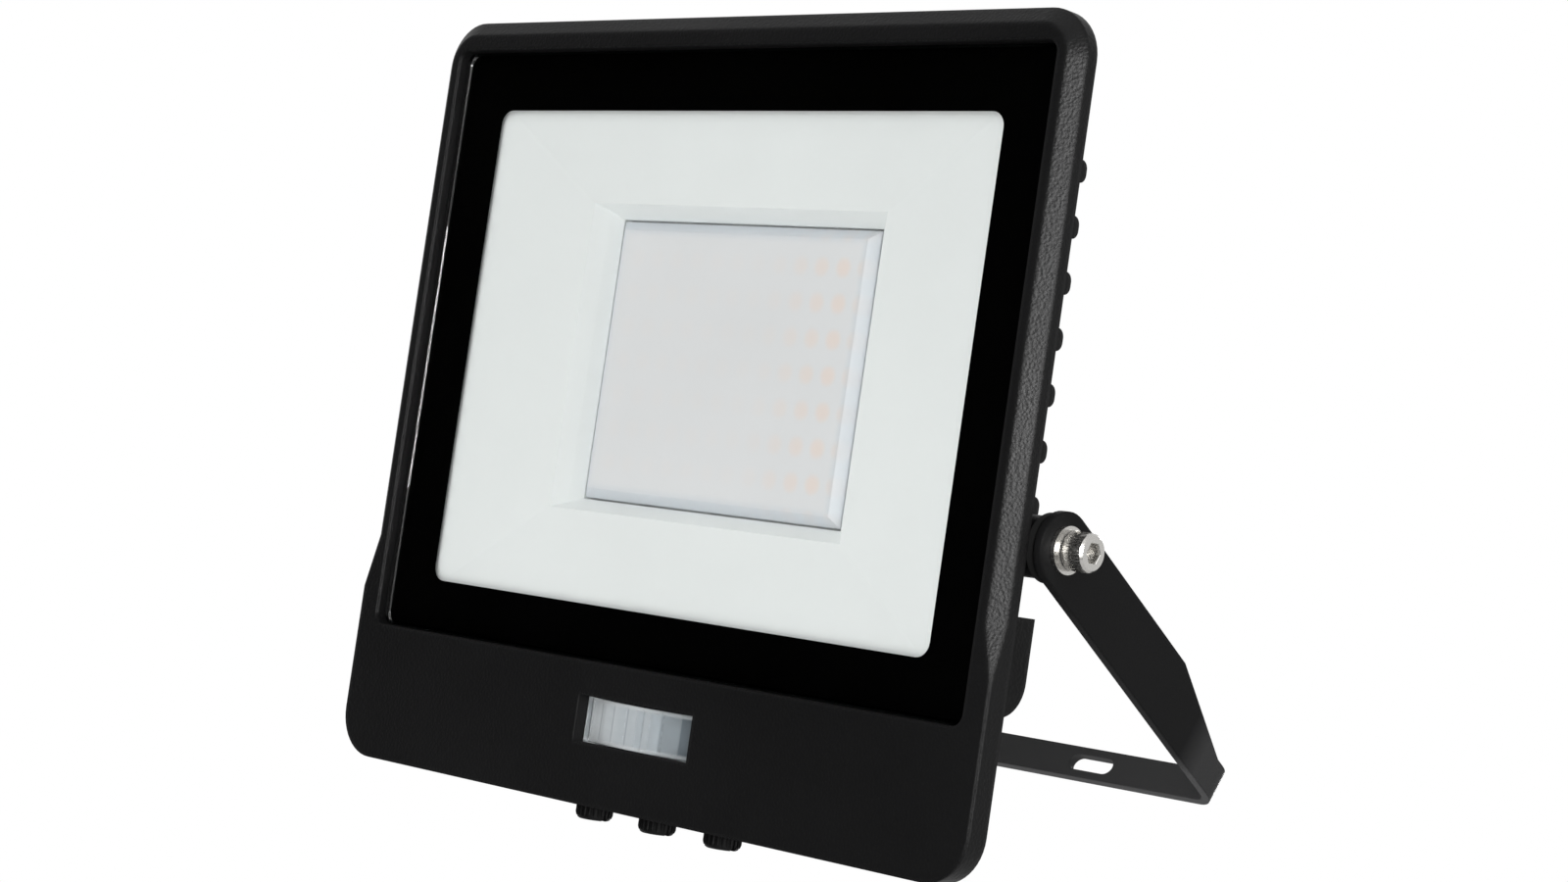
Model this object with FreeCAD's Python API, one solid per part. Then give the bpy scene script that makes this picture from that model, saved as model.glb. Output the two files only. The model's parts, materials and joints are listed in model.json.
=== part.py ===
import FreeCAD, Part
import math
import os

# Slim floodlight with a passive infrared motion sensor, carried between the arms of a wall bracket.
# Row frame: origin at the middle of the bracket's wall face, +Y into the wall, +Z up, +X along the bar.
# Head frame: origin at the middle of the lit window on the glass's front face, +Y to the back, +Z up.
# Every length is in millimetres and every angle in degrees.

# Bracket
HEAD_TILT = 32.0
BAR_WIDTH = 8.0
SHEET = 2.0
ARM_WIDTH = 16.0
ARM_EDGE_OVERLAP = 0.4
PIVOT_REACH = 82.0
ARM_TAPER_START = 50.0
ARM_TAPER_END = 75.0
BEND_INNER_RADIUS = 2.5
SLOT_SPACING = 133.0
SLOT_LENGTH = 12.0
SLOT_WIDTH = 4.2
CENTRE_HOLE_RADIUS = 2.1

# Pivot, in the head frame
PIVOT_Y = 13.6
PIVOT_Z = -31.5
BOLT_RADIUS = 2.5
BOLT_HOLE_CLEARANCE = 0.1
BOLT_HEAD_RADIUS = 4.25
BOLT_HEAD_HEIGHT = 5.0
BOLT_HEAD_CHAMFER = 0.4
BOLT_SOCKET_RADIUS = 2.3
BOLT_SOCKET_DEPTH = 2.6
BOLT_THREAD_LENGTH = 10.0
BOLT_THREAD_GAP = 0.1
BOLT_TIP_GAP = 0.8
FLAT_WASHER_RADIUS = 5.1
FLAT_WASHER_THICKNESS = 1.0
WASHER_BORE_GAP = 0.15
SPRING_WASHER_RADIUS = 4.3
SPRING_WASHER_THICKNESS = 1.3
SPRING_WASHER_GAP = 1.2
DISC_RADIUS = 7.4
DISC_THICKNESS = 2.3
EAR_RADIUS = 6.6
EAR_ROOT_DEPTH = 14.0
PIVOT_FACE_GAP = 0.1

# Lit window and the printed border round it
WINDOW_HALF_WIDTH = 80.0
WINDOW_HALF_HEIGHT = 57.9
BORDER_SIDE = 14.9
BORDER_TOP = 14.3
BORDER_BOTTOM = 12.7
GLASS_CORNER = 3.0
GLASS_THICKNESS = 3.0
GLASS_EDGE_GAP = 0.3
SEAL_THICKNESS = 0.8
SEAL_WIDTH = 3.0
SEAT_WIDTH = 3.4

# Housing outline round the glass
FRAME_SIDE = 6.1
FRAME_TOP = 7.3
PANEL_HEIGHT = 32.4
FLANGE_CORNER = 11.0
LIP_PROUD = 2.4
FLANGE_BACK = 3.4
CHAMFER_WIDTH = 3.6
CHAMFER_DEPTH = 2.7
CHAMFER_END_RISE = 54.0
CHAMFER_RUNOUT = 13.0
TUB_BACK = 19.5
TUB_SIDE_STEP = 4.0
TUB_TOP_STEP = 4.0
TUB_BOTTOM_STEP = 3.0
TUB_CORNER = 10.0
TUB_SIDE_DRAFT = 12.5
TUB_TOP_DRAFT = 8.0
TUB_WALL = 5.0
BASE_THICKNESS = 3.1

# Cooling ribs
RIB_COUNT = 8
RIB_PITCH = 12.1
RIB_TOP_MARGIN = 18.2
RIB_HEIGHT = 5.0
RIB_DEPTH = 5.0
RIB_END_REACH = 0.8
RIB_ROOT = 1.5
RIB_ROUNDING = 2.0

# Light source
COVER_HALF_WIDTH = 41.2
COVER_HALF_HEIGHT = 33.1
COVER_HEIGHT = 4.2
COVER_BEVEL = 2.2
COVER_WALL = 1.2
BOARD_SIDE_MARGIN = 12.8
BOARD_TOP_MARGIN = 11.9
BOARD_THICKNESS = 1.5
CHIP_COLUMNS = 11
CHIP_ROWS = 7
CHIP_PITCH_X = 6.6
CHIP_PITCH_Z = 8.1
CHIP_WIDTH = 3.5
CHIP_HEIGHT = 2.8
CHIP_THICKNESS = 0.7
BOARD_SCREW_INSET = 3.2
BOARD_SCREW_BITE = 2.4

# Reflector, which steps in from the window to the mouth round the light source
REFLECTOR_SHEET = 1.4
REFLECTOR_RIM = 5.0
REFLECTOR_RIM_GAP = 0.4
MOUTH_GAP = 0.5
MOUTH_RISE = 2.1
LEDGE_SIDE = 2.8
LEDGE_TOP = 1.8
LEDGE_RISE = 0.5
STEP_SIDE = 3.0
STEP_TOP = 1.6
STEP_RISE = 3.0

# Sensor bay
BAY_FLOOR = 4.0
BAY_WALL = 4.9
BAY_SIDE_WALL = 3.2
PANEL_THICKNESS = 3.0
EYE_HALF_WIDTH = 18.4
EYE_HALF_HEIGHT = 5.3
EYE_DROP = 8.2
EYE_GAP = 0.3
LENS_RADIUS = 44.0
LENS_WALL = 1.2
LENS_RECESS = 0.4
LENS_FLANGE = 2.0
LENS_FLANGE_THICKNESS = 1.2
HOLDER_WALL = 2.0
HOLDER_DEPTH = 4.4
HOLDER_GAP = 0.2
SENSOR_BOARD_DEPTH = 5.5
SENSOR_BOARD_THICKNESS = 1.6
SENSOR_BOARD_MARGIN = 0.8
PYRO_RADIUS = 4.6
PYRO_HEIGHT = 5.0
BOARD_BOSS_MARGIN = 9.6
BOARD_BOSS_RADIUS = 3.0
BOARD_END_MARGIN = 4.0

# Setting knobs
KNOB_NAMES = ("sens", "time", "lux")
KNOB_PITCH = 21.0
KNOB_BOARD_GAP = 4.0
KNOB_RADIUS = 4.5
KNOB_FLUTES = 18
KNOB_LENGTH = 6.7
KNOB_GAP = 0.3
KNOB_SLOT_WIDTH = 1.2
KNOB_SLOT_DEPTH = 1.4
SHAFT_RADIUS = 2.0
SHAFT_CLEARANCE = 0.08
KNOB_SEAL_MARGIN = 1.7
KNOB_SEAL_THICKNESS = 1.4
POT_HALF_WIDTH = 4.5
POT_HEIGHT = 5.4
SHAFT_TIP_GAP = 0.5

# Rear cover over the driver and sensor bays
COVER_RIB_GAP = 2.6
COVER_SIDE_MARGIN = 2.0
COVER_BOTTOM_MARGIN = 2.5
COVER_PLATE_CORNER = 4.0
COVER_PLATE_THICKNESS = 2.4
COVER_SEAL_THICKNESS = 0.8
COVER_SEAL_INSET = 0.3
COVER_SEAL_WIDTH = 1.1
BUMP_SIDE_MARGIN = 2.5
BUMP_TOP_MARGIN = 6.0
BUMP_HEIGHT = 22.0
BUMP_DEPTH = 12.3
BUMP_WALL = 2.0
BUMP_BOTTOM_ROUNDING = 8.0
UPPER_SCREW_INSET = 12.5
UPPER_SCREW_DROP = 3.0
LOWER_SCREW_INSET = 3.3
LOWER_SCREW_DROP = 3.7
LOWER_SCREW_RISE = 5.0
SCREW_BOSS_RADIUS = 3.4
SCREW_RADIUS = 1.5
SCREW_SIDES = 8
SCREW_HEAD_RADIUS = 2.6
SCREW_HEAD_SIDES = 12
SCREW_HEAD_HEIGHT = 1.8
SCREW_LENGTH = 8.0
SCREW_HOLE_CLEARANCE = 0.1
SCREW_CROSS_WIDTH = 0.8
SCREW_CROSS_DEPTH = 0.9
VENT_X = 52.0
VENT_RADIUS = 4.0
VENT_STEM_RADIUS = 2.4
VENT_PROUD = 1.8

# Driver
DRIVER_HALF_WIDTH = 46.0
DRIVER_EDGE_GAP = 2.0
DRIVER_BOSS_INSET = 6.0
DRIVER_BOSS_RADIUS = 2.4
DRIVER_SCREW_LENGTH = 5.6
DRIVER_STANDOFF = 2.0
DRIVER_THICKNESS = 1.6
CAPACITOR_RADIUS = 4.0
CAPACITOR_LENGTH = 18.0
CAPACITOR_X = -27.0
TERMINAL_X = 26.0
TERMINAL_HALF_WIDTH = 10.0
TERMINAL_DEPTH = 8.0
TERMINAL_HALF_HEIGHT = 5.0
TERMINAL_HOLES = 3
TERMINAL_HOLE_HALF = 1.3

# Cable gland
GLAND_DROP = 8.0
GLAND_BORE_RADIUS = 3.0
GLAND_BARREL_RADIUS = 4.4
GLAND_HEX_RADIUS = 6.4
GLAND_HEX_THICKNESS = 3.0
GLAND_BARREL_LENGTH = 6.0
GLAND_INNER_LENGTH = 6.0
GLAND_CAP_LENGTH = 9.0
GLAND_CAP_RADIUS = 6.2
GLAND_CAP_GAP = 0.4
GLAND_THREAD_GAP = 0.1
GLAND_NUT_THICKNESS = 2.4
GLAND_SEAL_BORE_RADIUS = 2.7
GLAND_SEAL_WALL = 1.1
GLAND_SEAL_PROUD = 0.2
GLAND_SEAL_LENGTH = 3.0
GLAND_MOUTH_RADIUS = 3.2
GLAND_MOUTH_TAPER = 1.5

X_AXIS = FreeCAD.Vector(1, 0, 0)
Y_AXIS = FreeCAD.Vector(0, 1, 0)
Z_AXIS = FreeCAD.Vector(0, 0, 1)

# Glass and housing outline
GLASS_HALF_WIDTH = WINDOW_HALF_WIDTH + BORDER_SIDE
GLASS_TOP = WINDOW_HALF_HEIGHT + BORDER_TOP
GLASS_BOTTOM = -WINDOW_HALF_HEIGHT - BORDER_BOTTOM
GLASS_SEAT = GLASS_THICKNESS + SEAL_THICKNESS
FLANGE_HALF_WIDTH = GLASS_HALF_WIDTH + FRAME_SIDE
FLANGE_TOP = GLASS_TOP + FRAME_TOP
FLANGE_BOTTOM = GLASS_BOTTOM - PANEL_HEIGHT
CHAMFER_Y = CHAMFER_DEPTH - LIP_PROUD
CHAMFER_END_Z = FLANGE_BOTTOM + CHAMFER_END_RISE
TUB_HALF_WIDTH = FLANGE_HALF_WIDTH - TUB_SIDE_STEP
TUB_TOP = FLANGE_TOP - TUB_TOP_STEP
TUB_BOTTOM = FLANGE_BOTTOM + TUB_BOTTOM_STEP
TUB_BACK_HALF_WIDTH = TUB_HALF_WIDTH - TUB_SIDE_DRAFT
TUB_BACK_TOP = TUB_TOP - TUB_TOP_DRAFT
BASE_FRONT = TUB_BACK - BASE_THICKNESS
RIB_FIRST_Z = TUB_BACK_TOP - RIB_TOP_MARGIN
RIB_LOWEST = RIB_FIRST_Z - RIB_PITCH * (RIB_COUNT - 1) - RIB_HEIGHT / 2

# Pivot stack, outwards from the head
ARM_INNER_HALF = FLANGE_HALF_WIDTH - ARM_EDGE_OVERLAP
ARM_OUTER_HALF = ARM_INNER_HALF + SHEET
PIVOT_RISE = (ARM_WIDTH - BAR_WIDTH) / 2
DISC_OUTER_HALF = ARM_INNER_HALF - PIVOT_FACE_GAP
EAR_HALF = DISC_OUTER_HALF - DISC_THICKNESS
EAR_ROOT_HALF = TUB_HALF_WIDTH - EAR_ROOT_DEPTH
WASHER_INNER = ARM_OUTER_HALF + PIVOT_FACE_GAP
SPRING_WASHER_INNER = WASHER_INNER + FLAT_WASHER_THICKNESS
BOLT_SEAT = SPRING_WASHER_INNER + SPRING_WASHER_THICKNESS

# Light source and reflector, from the board forwards
BOARD_FRONT = BASE_FRONT - BOARD_THICKNESS
BOARD_HALF_WIDTH = COVER_HALF_WIDTH + BOARD_SIDE_MARGIN
BOARD_HALF_HEIGHT = COVER_HALF_HEIGHT + BOARD_TOP_MARGIN
COVER_FRONT = BOARD_FRONT - COVER_HEIGHT
MOUTH_HALF_WIDTH = COVER_HALF_WIDTH + MOUTH_GAP
MOUTH_HALF_HEIGHT = COVER_HALF_HEIGHT + MOUTH_GAP
MOUTH_DEPTH = BOARD_FRONT - MOUTH_RISE
LEDGE_HALF_WIDTH = COVER_HALF_WIDTH + LEDGE_SIDE
LEDGE_HALF_HEIGHT = COVER_HALF_HEIGHT + LEDGE_TOP
LEDGE_DEPTH = COVER_FRONT - LEDGE_RISE
STEP_HALF_WIDTH = LEDGE_HALF_WIDTH + STEP_SIDE
STEP_HALF_HEIGHT = LEDGE_HALF_HEIGHT + STEP_TOP
STEP_DEPTH = LEDGE_DEPTH - STEP_RISE

# Rear cover
COVER_PLATE_HALF_WIDTH = TUB_BACK_HALF_WIDTH - COVER_SIDE_MARGIN
COVER_PLATE_TOP = RIB_LOWEST - COVER_RIB_GAP
COVER_PLATE_BOTTOM = TUB_BOTTOM + COVER_BOTTOM_MARGIN
COVER_SEAT = TUB_BACK + COVER_SEAL_THICKNESS
COVER_OUTER = COVER_SEAT + COVER_PLATE_THICKNESS
BUMP_HALF_WIDTH = COVER_PLATE_HALF_WIDTH - BUMP_SIDE_MARGIN
BUMP_TOP = COVER_PLATE_TOP - BUMP_TOP_MARGIN
BUMP_BOTTOM = BUMP_TOP - BUMP_HEIGHT
BUMP_BACK = COVER_OUTER + BUMP_DEPTH
BUMP_INNER = BUMP_BACK - BUMP_WALL
BUMP_Z = (BUMP_TOP + BUMP_BOTTOM) / 2
UPPER_SCREW_X = COVER_PLATE_HALF_WIDTH - UPPER_SCREW_INSET
UPPER_SCREW_Z = COVER_PLATE_TOP - UPPER_SCREW_DROP
LOWER_SCREW_X = COVER_PLATE_HALF_WIDTH - LOWER_SCREW_INSET
LOWER_SCREW_ROWS = (BUMP_BOTTOM - LOWER_SCREW_DROP, COVER_PLATE_BOTTOM + LOWER_SCREW_RISE)
VENT_Z = (BUMP_BOTTOM + COVER_PLATE_BOTTOM) / 2
GLAND_Z = BUMP_TOP - GLAND_DROP

# Sensor bay, knobs and driver
PANEL_BACK = PANEL_THICKNESS - LIP_PROUD
BAY_TOP = GLASS_BOTTOM - BAY_WALL
BAY_BOTTOM = TUB_BOTTOM + BAY_FLOOR
BAY_HALF_WIDTH = LOWER_SCREW_X - BAY_SIDE_WALL
EYE_Z = BAY_TOP - EYE_DROP
SENSOR_BOARD_FRONT = TUB_BACK - SENSOR_BOARD_DEPTH
SENSOR_BACK = SENSOR_BOARD_FRONT + SENSOR_BOARD_THICKNESS
BOARD_BOSS_X = EYE_HALF_WIDTH + BOARD_BOSS_MARGIN
SENSOR_BOARD_HALF_WIDTH = BOARD_BOSS_X + BOARD_END_MARGIN
KNOB_Y = SENSOR_BOARD_FRONT - KNOB_BOARD_GAP
KNOB_TOP = TUB_BOTTOM - KNOB_GAP
KNOB_END = KNOB_TOP - KNOB_LENGTH
KNOB_SPOTS = tuple(zip(KNOB_NAMES, (-KNOB_PITCH, 0.0, KNOB_PITCH)))
POT_BOTTOM = BAY_BOTTOM + KNOB_SEAL_THICKNESS
DRIVER_FRONT = TUB_BACK + DRIVER_STANDOFF
DRIVER_BACK = DRIVER_FRONT + DRIVER_THICKNESS
DRIVER_BOSS_X = DRIVER_HALF_WIDTH - DRIVER_BOSS_INSET
DRIVER_HALF_HEIGHT = BUMP_HEIGHT / 2 - BUMP_WALL - DRIVER_EDGE_GAP


def vec(x, y, z):
    return FreeCAD.Vector(x, y, z)


def rounded_wire(x0, x1, z0, z1, radius, y):
    """Closed outline of a rectangle with round or sharp corners, in the plane at depth y."""
    if radius <= 0:
        sharp = ((x1, z0), (x1, z1), (x0, z1), (x0, z0), (x1, z0))
        return Part.makePolygon([vec(x, y, z) for x, z in sharp])
    s = radius * (1 - math.sqrt(0.5))
    corners = (
        (vec(x1 - radius, y, z0), vec(x1 - s, y, z0 + s), vec(x1, y, z0 + radius)),
        (vec(x1, y, z1 - radius), vec(x1 - s, y, z1 - s), vec(x1 - radius, y, z1)),
        (vec(x0 + radius, y, z1), vec(x0 + s, y, z1 - s), vec(x0, y, z1 - radius)),
        (vec(x0, y, z0 + radius), vec(x0 + s, y, z0 + s), vec(x0 + radius, y, z0)),
    )
    edges = []
    for index, corner in enumerate(corners):
        edges.append(Part.Arc(*corner).toShape())
        edges.append(Part.LineSegment(corner[2], corners[(index + 1) % 4][0]).toShape())
    return Part.Wire(edges)


def plate(x0, x1, z0, z1, radius, y0, y1):
    """Flat plate with round corners, from depth y0 to depth y1."""
    face = Part.Face(rounded_wire(x0, x1, z0, z1, radius, y0))
    return face.extrude(vec(0, y1 - y0, 0))


def centred_plate(half_width, half_height, radius, y0, y1, z=0.0):
    return plate(-half_width, half_width, z - half_height, z + half_height, radius, y0, y1)


def frustum(first, second):
    """Ruled solid between two outlines with as many corners, flat-sided where they have no arcs."""
    if any(edge.Curve.TypeId != "Part::GeomLine" for edge in first.Edges):
        return Part.makeLoft([first, second], True, True)
    low = [vertex.Point for vertex in first.OrderedVertexes]
    high = [vertex.Point for vertex in second.OrderedVertexes]
    outlines = [low[::-1], high]
    for index, corner in enumerate(low):
        after = (index + 1) % len(low)
        outlines.append([corner, low[after], high[after], high[index]])
    faces = [Part.Face(Part.makePolygon(points + points[:1])) for points in outlines]
    solid = Part.Solid(Part.Shell(faces))
    return solid if solid.Volume > 0 else solid.reversed()


def block(x0, x1, y0, y1, z0, z1):
    return Part.makeBox(x1 - x0, y1 - y0, z1 - z0, vec(x0, y0, z0))


def rod(radius, length, x, y, z, direction=Y_AXIS):
    return Part.makeCylinder(radius, length, vec(x, y, z), direction)


def tube(outer, inner, length, x, y, z, direction=Y_AXIS):
    return rod(outer, length, x, y, z, direction).cut(rod(inner, length, x, y, z, direction))


def polygon_wire(radius, sides, x, y, z):
    """Closed regular polygon at depth y, with its corners at the given radius."""
    turns = [2 * math.pi * i / sides for i in range(sides)]
    corners = [vec(x + radius * math.cos(a), y, z + radius * math.sin(a)) for a in turns]
    return Part.makePolygon(corners + corners[:1])


def prism(radius, sides, length, x, y, z):
    return Part.Face(polygon_wire(radius, sides, x, y, z)).extrude(vec(0, length, 0))


def edges_at(shape, test):
    """Edges whose middle point passes the test."""
    chosen = []
    for edge in shape.Edges:
        middle = edge.valueAt((edge.FirstParameter + edge.LastParameter) / 2)
        if test(middle):
            chosen.append(edge)
    return chosen


def near(a, b):
    return abs(a - b) < 0.01


def on_bracket(shape):
    """Carries a shape from the head frame to its place between the bracket's arms."""
    placed = shape.copy()
    placed.translate(vec(0, -PIVOT_Y, -PIVOT_Z))
    placed.rotate(vec(0, 0, 0), X_AXIS, HEAD_TILT)
    placed.translate(vec(0, -PIVOT_REACH, PIVOT_RISE))
    return placed


def mirrored(shape):
    return shape.mirror(vec(0, 0, 0), X_AXIS)


def save(name, shape):
    shape.exportStep("parts/" + name + ".step")


def save_head(name, shape):
    save(name, on_bracket(shape))


def arm_blank():
    """Arm profile in the YZ plane, round at the pivot and tapered on top, carried across the width."""
    radius = ARM_WIDTH / 2
    low = PIVOT_RISE - radius
    high = PIVOT_RISE + radius
    foot = vec(0, -PIVOT_REACH, low)
    crown = vec(0, -PIVOT_REACH, high)
    points = (
        crown,
        vec(0, ARM_TAPER_START - PIVOT_REACH, high),
        vec(0, ARM_TAPER_END - PIVOT_REACH, BAR_WIDTH / 2),
        vec(0, 0, BAR_WIDTH / 2),
        vec(0, 0, low),
        foot,
    )
    edges = [Part.Arc(foot, vec(0, -PIVOT_REACH - radius, PIVOT_RISE), crown).toShape()]
    edges.extend(Part.LineSegment(a, b).toShape() for a, b in zip(points, points[1:]))
    blank = Part.Face(Part.Wire(edges)).extrude(vec(2 * ARM_OUTER_HALF, 0, 0))
    blank.translate(vec(-ARM_OUTER_HALF, 0, 0))
    return blank


def folded_channel():
    """Sheet folded to a U as seen from above, as high as an arm is wide."""
    far = -2 * PIVOT_REACH
    outer_radius = BEND_INNER_RADIUS + SHEET
    outer = plate(-ARM_OUTER_HALF, ARM_OUTER_HALF, far, 0, outer_radius, -ARM_WIDTH, 0)
    inner = plate(-ARM_INNER_HALF, ARM_INNER_HALF, far, -SHEET, BEND_INNER_RADIUS, -ARM_WIDTH, 0)
    channel = outer.cut(inner)
    channel.rotate(vec(0, 0, 0), X_AXIS, -90)
    channel.translate(vec(0, 0, -BAR_WIDTH / 2))
    return channel


def wall_slot(x):
    straight = (SLOT_LENGTH - SLOT_WIDTH) / 2
    body = block(x - straight, x + straight, -2 * SHEET, SHEET, -SLOT_WIDTH / 2, SLOT_WIDTH / 2)
    for end in (-straight, straight):
        body = body.fuse(rod(SLOT_WIDTH / 2, 3 * SHEET, x + end, -2 * SHEET, 0))
    return body


def mounting_bracket():
    bracket = arm_blank().common(folded_channel())
    for x in (-SLOT_SPACING / 2, SLOT_SPACING / 2):
        bracket = bracket.cut(wall_slot(x))
    bracket = bracket.cut(rod(CENTRE_HOLE_RADIUS, 3 * SHEET, 0, -2 * SHEET, 0))
    hole_radius = BOLT_RADIUS + BOLT_HOLE_CLEARANCE
    hole = rod(hole_radius, 2 * ARM_OUTER_HALF, -ARM_OUTER_HALF, -PIVOT_REACH, PIVOT_RISE, X_AXIS)
    return bracket.cut(hole).removeSplitter()


def pivot_bolt():
    shank_start = EAR_HALF - BOLT_THREAD_LENGTH
    bolt = rod(BOLT_RADIUS, BOLT_SEAT - shank_start, shank_start, PIVOT_Y, PIVOT_Z, X_AXIS)
    head = rod(BOLT_HEAD_RADIUS, BOLT_HEAD_HEIGHT, BOLT_SEAT, PIVOT_Y, PIVOT_Z, X_AXIS)
    outer = BOLT_SEAT + BOLT_HEAD_HEIGHT
    head = head.makeChamfer(BOLT_HEAD_CHAMFER, edges_at(head, lambda p: near(p.x, outer)))
    socket = prism(BOLT_SOCKET_RADIUS, 6, BOLT_SOCKET_DEPTH, 0, 0, 0)
    socket.rotate(vec(0, 0, 0), Z_AXIS, -90)
    socket.translate(vec(outer - BOLT_SOCKET_DEPTH, PIVOT_Y, PIVOT_Z))
    return bolt.fuse(head.cut(socket)).removeSplitter()


def spring_washer():
    bore = BOLT_RADIUS + WASHER_BORE_GAP
    thickness = SPRING_WASHER_THICKNESS
    ring = tube(SPRING_WASHER_RADIUS, bore, thickness, SPRING_WASHER_INNER, PIVOT_Y, PIVOT_Z, X_AXIS)
    half_gap = SPRING_WASHER_GAP / 2
    split = block(
        SPRING_WASHER_INNER,
        BOLT_SEAT,
        PIVOT_Y - half_gap,
        PIVOT_Y + half_gap,
        PIVOT_Z,
        PIVOT_Z + 2 * SPRING_WASHER_RADIUS,
    )
    return ring.cut(split)


def save_pivot_pieces():
    washer_bore = BOLT_RADIUS + WASHER_BORE_GAP
    flat = (FLAT_WASHER_RADIUS, washer_bore, FLAT_WASHER_THICKNESS, WASHER_INNER)
    disc = (DISC_RADIUS, washer_bore, DISC_THICKNESS, EAR_HALF)
    pieces = {
        "pivot_bolt": pivot_bolt(),
        "spring_washer": spring_washer(),
        "flat_washer": tube(*flat, PIVOT_Y, PIVOT_Z, X_AXIS),
        "friction_disc": tube(*disc, PIVOT_Y, PIVOT_Z, X_AXIS),
    }
    for name, shape in pieces.items():
        save_head(name + "_right", shape)
        save_head(name + "_left", mirrored(shape))


def flange_wire(inset, y):
    return rounded_wire(
        inset - FLANGE_HALF_WIDTH,
        FLANGE_HALF_WIDTH - inset,
        FLANGE_BOTTOM + inset,
        FLANGE_TOP - inset,
        FLANGE_CORNER - inset,
        y,
    )


def chamfer_runout(side):
    """Tapered end of the chamfer, as a tetrahedron that shrinks to the panel's sharp corner."""
    edge = side * FLANGE_HALF_WIDTH
    inner = vec(edge - side * CHAMFER_WIDTH, -LIP_PROUD, CHAMFER_END_Z)
    corner = vec(edge, -LIP_PROUD, CHAMFER_END_Z)
    low = vec(edge, CHAMFER_Y, CHAMFER_END_Z)
    tip = vec(edge, -LIP_PROUD, CHAMFER_END_Z - CHAMFER_RUNOUT)
    triangles = ((inner, corner, low), (inner, corner, tip), (corner, low, tip), (low, inner, tip))
    faces = [Part.Face(Part.makePolygon([a, b, c, a])) for a, b, c in triangles]
    solid = Part.Solid(Part.Shell(faces))
    return solid if solid.Volume > 0 else solid.reversed()


def flange():
    """Front frame: chamfered round the glass, square and flat around the sensor panel."""
    rear = Part.Face(flange_wire(0, CHAMFER_Y)).extrude(vec(0, FLANGE_BACK - CHAMFER_Y, 0))
    front = frustum(flange_wire(CHAMFER_WIDTH, -LIP_PROUD), flange_wire(0, CHAMFER_Y))
    panel = Part.Face(flange_wire(0, -LIP_PROUD)).extrude(vec(0, CHAMFER_DEPTH, 0))
    below = block(
        -FLANGE_HALF_WIDTH, FLANGE_HALF_WIDTH, -LIP_PROUD, CHAMFER_Y, FLANGE_BOTTOM, CHAMFER_END_Z
    )
    panel = panel.common(below)
    for side in (-1, 1):
        panel = panel.cut(chamfer_runout(side))
    return rear.fuse([front, panel])


def tub_wire(half_width, top, bottom, y):
    return rounded_wire(-half_width, half_width, bottom, top, TUB_CORNER, y)


def tub():
    return frustum(
        tub_wire(TUB_HALF_WIDTH, TUB_TOP, TUB_BOTTOM, FLANGE_BACK),
        tub_wire(TUB_BACK_HALF_WIDTH, TUB_BACK_TOP, TUB_BOTTOM, TUB_BACK),
    )


def rib(z):
    half = TUB_BACK_HALF_WIDTH + RIB_END_REACH
    back = TUB_BACK + RIB_DEPTH
    bar = block(-half, half, TUB_BACK - RIB_ROOT, back, z - RIB_HEIGHT / 2, z + RIB_HEIGHT / 2)
    return bar.makeFillet(RIB_ROUNDING, edges_at(bar, lambda p: near(p.y, back) and near(p.x, 0)))


def ear(side):
    length = EAR_HALF - EAR_ROOT_HALF
    start = side * EAR_HALF if side < 0 else EAR_ROOT_HALF
    return rod(EAR_RADIUS, length, start, PIVOT_Y, PIVOT_Z, X_AXIS)


def ear_hole(side):
    depth = BOLT_THREAD_LENGTH + BOLT_TIP_GAP
    start = side * EAR_HALF if side < 0 else EAR_HALF - depth
    return rod(BOLT_RADIUS + BOLT_THREAD_GAP, depth, start, PIVOT_Y, PIVOT_Z, X_AXIS)


def light_cavity():
    """Space behind the glass for the reflector and the light source."""
    share = (BASE_FRONT - FLANGE_BACK) / (TUB_BACK - FLANGE_BACK)
    half_back = TUB_HALF_WIDTH - TUB_SIDE_DRAFT * share - TUB_WALL
    top_back = TUB_TOP - TUB_TOP_DRAFT * share - TUB_WALL
    half_front = GLASS_HALF_WIDTH - SEAT_WIDTH
    low = GLASS_BOTTOM + SEAT_WIDTH
    return frustum(
        rounded_wire(-half_front, half_front, low, GLASS_TOP - SEAT_WIDTH, 0, GLASS_SEAT),
        rounded_wire(-half_back, half_back, low, top_back, 0, BASE_FRONT),
    )


def glass_plate(inset, y0, y1):
    return plate(
        inset - GLASS_HALF_WIDTH,
        GLASS_HALF_WIDTH - inset,
        GLASS_BOTTOM + inset,
        GLASS_TOP - inset,
        GLASS_CORNER,
        y0,
        y1,
    )


def cover_screw_spots():
    spots = []
    for side in (-1, 1):
        spots.append((side * UPPER_SCREW_X, UPPER_SCREW_Z))
        spots.extend((side * LOWER_SCREW_X, z) for z in LOWER_SCREW_ROWS)
    return spots


def board_screw_spots():
    x = BOARD_HALF_WIDTH - BOARD_SCREW_INSET
    z = BOARD_HALF_HEIGHT - BOARD_SCREW_INSET
    return [(-x, -z), (-x, z), (x, -z), (x, z)]


def sensor_bay():
    """Space behind the sensor panel, with the eye's opening through the panel."""
    bay = block(-BAY_HALF_WIDTH, BAY_HALF_WIDTH, PANEL_BACK, 2 * TUB_BACK, BAY_BOTTOM, BAY_TOP)
    half = EYE_HALF_WIDTH
    low = EYE_Z - EYE_HALF_HEIGHT
    high = EYE_Z + EYE_HALF_HEIGHT
    return bay.fuse(block(-half, half, -2 * LIP_PROUD, 2 * PANEL_BACK, low, high))


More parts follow.
